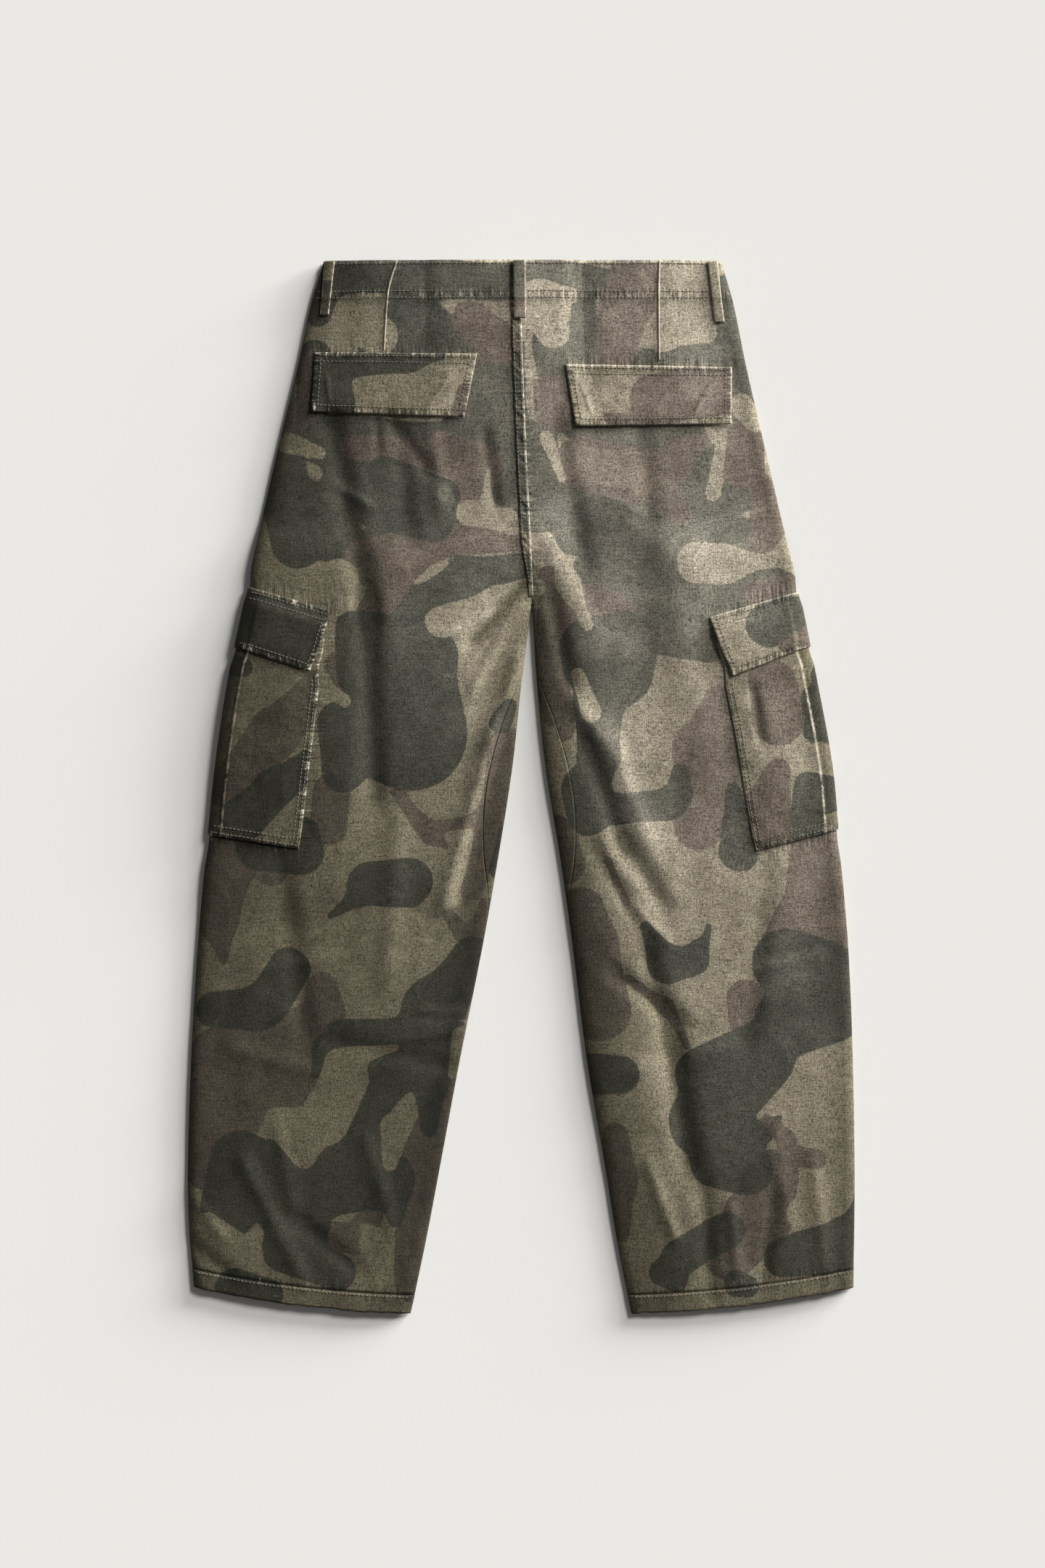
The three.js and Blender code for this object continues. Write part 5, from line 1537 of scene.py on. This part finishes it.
def new_material(name, roughness):
    """A material, its node tree, its Principled BSDF and its Object coordinates."""
    material = bpy.data.materials.new(name)
    material.use_nodes = True
    tree = material.node_tree
    shader = tree.nodes["Principled BSDF"]
    shader.inputs["Roughness"].default_value = roughness
    return material, tree, shader, tree.nodes.new("ShaderNodeTexCoord").outputs["Object"]


def bump_node(tree, height, strength, distance, normal=None):
    """A Bump node that adds a relief, on top of another normal if one is given."""
    node = tree.nodes.new("ShaderNodeBump")
    node.inputs["Strength"].default_value = strength
    node.inputs["Distance"].default_value = distance
    tree.links.new(height, node.inputs["Height"])
    if normal is not None:
        tree.links.new(normal, node.inputs["Normal"])
    return node.outputs["Normal"]


def place_group(tree, group):
    """A node that places a group in a material."""
    node = tree.nodes.new("ShaderNodeGroup")
    node.node_tree = group
    return node


def attribute(tree, name):
    """The value of a float attribute of the cloth."""
    node = tree.nodes.new("ShaderNodeAttribute")
    node.attribute_name = name
    return node.outputs["Fac"]


def canvas(name, tint, washed, rubbed):
    """Printed, faded, heathered and rubbed canvas, with the painted light and shade of its stored
    brightness and painted shade in the troughs of its puckers: a tint for its inks, how far they wash
    out, and the colour of its rubbed places."""
    material, tree, shader, where = new_material(name, roughness=0.93)
    shader.inputs["Specular IOR Level"].default_value = 0.18
    shader.inputs["Sheen Weight"].default_value = 0.06
    shader.inputs["Sheen Roughness"].default_value = 0.6
    ragged = noise_node(tree, where, RAG_NOISE, 2.0, 0.6)
    pattern = place_group(tree, PRINT)
    pattern.inputs["Washed out"].default_value = washed
    for socket in ("Green", "Brown", "Overlap", "Fade"):
        tree.links.new(attribute(tree, socket.lower()), pattern.inputs[socket])
    tree.links.new(ragged, pattern.inputs["Ragged"])
    for socket, colour in INKS.items():
        pattern.inputs[socket].default_value = (*(c * t for c, t in zip(colour, tint)), 1.0)
    heather = place_group(tree, HEATHER)
    heather.inputs["Strength"].default_value = SPECKLE
    tree.links.new(where, heather.inputs["Vector"])
    grey = tree.nodes.new("ShaderNodeCombineColor")
    for n in range(3):
        tree.links.new(heather.outputs["Value"], grey.inputs[n])
    speckled = mix_colour(tree, 1.0, pattern.outputs["Color"], grey.outputs["Color"], "MULTIPLY")
    pucker = place_group(tree, PUCKER)
    tree.links.new(where, pucker.inputs["Vector"])
    tree.links.new(attribute(tree, "pucker_across"), pucker.inputs["Across"])
    tree.links.new(attribute(tree, "pucker_down"), pucker.inputs["Down"])
    # Painted shade in the troughs of the puckers.
    trough_shaded = mix_colour(tree, 1.0, speckled, TROUGH_SHADE_TINT, "MULTIPLY")
    speckled = mix_colour(tree, pucker.outputs["Painted trough shade"], speckled, trough_shaded)
    wear = place_group(tree, WEAR)
    wear.inputs["Rubbed colour"].default_value = (*rubbed, 1.0)
    rubbed_most = math_node(tree, "MAXIMUM", attribute(tree, "worn"), pucker.outputs["Rub"])
    for value, socket in ((where, "Vector"), (rubbed_most, "Worn"), (speckled, "Color")):
        tree.links.new(value, wear.inputs[socket])
    tree.links.new(wear.outputs["Color"], shader.inputs["Base Color"])
    weave = place_group(tree, WEAVE)
    tree.links.new(where, weave.inputs["Vector"])
    height = plus(tree, heather.outputs["Height"], times(tree, weave.outputs["Height"], WEAVE_SHARE))
    woven = bump_node(tree, height, WEAVE_STRENGTH, WEAVE_HEIGHT)
    puckered = bump_node(tree, pucker.outputs["Height"], 1.0, RIPPLE_HEIGHT, woven)
    tree.links.new(puckered, shader.inputs["Normal"])
    return material


def thread(name, colour):
    """Cotton thread: matt, darker in some rows than in others, with fine variation along it."""
    material, tree, shader, where = new_material(name, roughness=0.85)
    slow = noise_node(tree, where, 14.0, 2.0, 0.5)
    fine = noise_node(tree, where, 800.0, 2.0, 0.6)
    base = mix_colour(tree, slow, tuple(c * 0.35 for c in colour), colour)
    varied = mix_colour(tree, times(tree, fine, 0.5), base, THREAD_SHADE)
    tree.links.new(varied, shader.inputs["Base Color"])
    return material


def button_plastic(name):
    """Dark moulded plastic with faint mottling."""
    material, tree, shader, where = new_material(name, roughness=0.42)
    mottle = noise_node(tree, where, 160.0, 3.0, 0.5)
    tree.links.new(mix_colour(tree, mottle, *BUTTON_COLOURS), shader.inputs["Base Color"])
    return material

# %% [markdown]
# ## Dressing the pieces
#
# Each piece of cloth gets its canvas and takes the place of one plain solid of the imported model. The
# darts and the stitches have no solid of their own, so they are added to the body. The button keeps
# its solid and only gets a new material.

# %% Dress every piece
LOOKS = {
    "canvas_back": canvas("canvas_back", (1.0, 1.0, 1.0), 1.0, RUBBED),
    "canvas_front": canvas("canvas_front", (0.95, 0.95, 0.93), 1.0, RUBBED),
    "canvas_pocket": canvas("canvas_pocket", (0.92, 0.92, 0.9), 0.3, RUBBED_EDGE),
    "canvas_trim": canvas("canvas_trim", (0.95, 0.95, 0.93), 0.6, RUBBED_EDGE),
}
THREAD_LOOK = thread("cotton_thread", THREAD_COLOUR)
STANDS_FOR = {}
for leg in ("left", "right"):
    STANDS_FOR[f"cloth_back_{leg}"] = (f"back_panel_{leg}", "canvas_back")
    STANDS_FOR[f"cloth_front_{leg}"] = (f"front_panel_{leg}", "canvas_front")
    STANDS_FOR[f"cloth_hem_{leg}"] = (f"hem_{leg}", "canvas_back")
    STANDS_FOR[f"pocket_bag_{leg}"] = (f"cargo_bag_{leg}", "canvas_pocket")
    STANDS_FOR[f"pocket_flap_{leg}"] = (f"cargo_flap_{leg}", "canvas_pocket")
    STANDS_FOR[f"flap_back_{leg}"] = (f"back_flap_{leg}", "canvas_pocket")
    STANDS_FOR[f"belt_loop_front_{leg}"] = (f"loop_front_{leg}", "canvas_trim")
for place in BACK_LOOPS:
    STANDS_FOR[f"belt_loop_back_{place}"] = (f"loop_back_{place}", "canvas_trim")
STANDS_FOR["felled_seat_seam"] = ("seat_seam", "canvas_trim")
STANDS_FOR["cloth_fly_lap"] = ("fly_lap", "canvas_front")



def dress(name, look):
    """Gives a piece its material and its body."""
    piece = PIECES[name]
    piece.data.materials.append(look)
    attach(piece, "root")
    return piece


for name, (node, slot) in STANDS_FOR.items():
    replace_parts(dress(name, LOOKS[slot]), node)
for side in DARTS:
    dress(f"dart_{side}", LOOKS["canvas_back"])
for name in ("stitches_body", "stitches_pockets"):
    dress(name, THREAD_LOOK)
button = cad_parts["waist_button"]
button.data.materials.clear()
button.data.materials.append(button_plastic("button_plastic"))
print(len(STANDS_FOR), "pieces of cloth dressed")

# %% [markdown]
# ## The cut of the main pieces
#
# Each panel, hem, cargo bag and cargo flap prints the size of its cut: the rectangle that it fits in,
# and its own area where it isn't a rectangle. The area is measured on the finished piece, because
# folds and turned edges take up cloth that the plan doesn't show.


# %% Print the cuts
def half_area(piece):
    """Half of the surface of a closed shell, which is the area of the cloth in square metres."""
    mesh = piece.data
    areas = np.empty(len(mesh.polygons))
    mesh.polygons.foreach_get("area", areas)
    return float(areas.sum() / 2)


CUTS = {"cloth_back": (0.345, 1.03), "cloth_front": (0.345, 1.03), "cloth_hem": (0.45, 0.02),
        "pocket_bag": (0.245, 0.225), "pocket_flap": (0.21, 0.064)}
for leg in ("left", "right"):
    for kind, flat in CUTS.items():
        piece = PIECES[f"{kind}_{leg}"]
        area = round(min(half_area(piece), flat[0] * flat[1]), 4)
        print(piece.name, "cut", flat, "area", area)

# %% [markdown]
# ## Floor, light and camera
#
# The garment lies on a plain pale floor. Lamps near it would light one side more than the other, so
# the light is three soft suns from the upper right: a high one for the colours, a low one for the
# soft shadow on the floor, and one that grazes the cloth, so that each fold has a lit and a shaded
# side. A weak white sky fills the shadows. The camera looks straight down through a long lens.

# %% Floor
FLOOR_SIZE, FLOOR_COLOUR, FLOOR_Z = 60.0, (0.83, 0.82, 0.785), -0.0004
bpy.ops.mesh.primitive_plane_add(size=FLOOR_SIZE, location=(0, 0, FLOOR_Z))
floor = bpy.context.object
floor.name = "floor"
floor_look, _, paper, _ = new_material("pale_floor", roughness=1.0)
paper.inputs["Base Color"].default_value = (*FLOOR_COLOUR, 1.0)
paper.inputs["Specular IOR Level"].default_value = 0.0
floor.data.materials.append(floor_look)
print("floor", FLOOR_SIZE, "m wide")

# %% Light
SKY_STRENGTH = 0.12
SUNS = {
    "key": dict(came_from=(0.62, 0.55, 0.60), strength=2.2, spread_degrees=16),
    "low_key": dict(came_from=(0.68, 0.70, 0.20), strength=4.5, spread_degrees=24),
    "grazing_key": dict(came_from=(0.88, 0.42, 0.12), strength=4.5, spread_degrees=14),
}
world = bpy.data.worlds.new("sky")
bpy.context.scene.world = world
world.use_nodes = True
sky = world.node_tree.nodes["Background"]
sky.inputs["Color"].default_value = (1.0, 1.0, 1.0, 1.0)
sky.inputs["Strength"].default_value = SKY_STRENGTH


def sun(name, came_from, strength, spread_degrees):
    """A sun whose light comes from a direction, soft by its angular size."""
    light = bpy.data.lights.new(name, "SUN")
    light.energy = strength
    light.angle = np.radians(spread_degrees)
    lamp = bpy.data.objects.new(name, light)
    lamp.rotation_euler = Vector(came_from).to_track_quat("Z", "Y").to_euler()
    bpy.context.scene.collection.objects.link(lamp)
    return lamp


for name, values in SUNS.items():
    sun(name, **values)
print(len(SUNS), "suns")

# %% Camera
VIEW_CENTRE, VIEW_HEIGHT = (1.1, 3.6), 1555.2
CAMERA_DISTANCE, SENSOR = 3200.0, 36.0
camera_data = bpy.data.cameras.new("camera")
camera_data.sensor_width = SENSOR
camera_data.lens = SENSOR * CAMERA_DISTANCE / VIEW_HEIGHT
camera = bpy.data.objects.new("camera", camera_data)
camera.location = (VIEW_CENTRE[0] * MM, VIEW_CENTRE[1] * MM, CAMERA_DISTANCE * MM)
bpy.context.scene.collection.objects.link(camera)
bpy.context.scene.camera = camera
bpy.context.scene.view_settings.view_transform = "Standard"
print("lens", round(camera_data.lens, 1), "mm")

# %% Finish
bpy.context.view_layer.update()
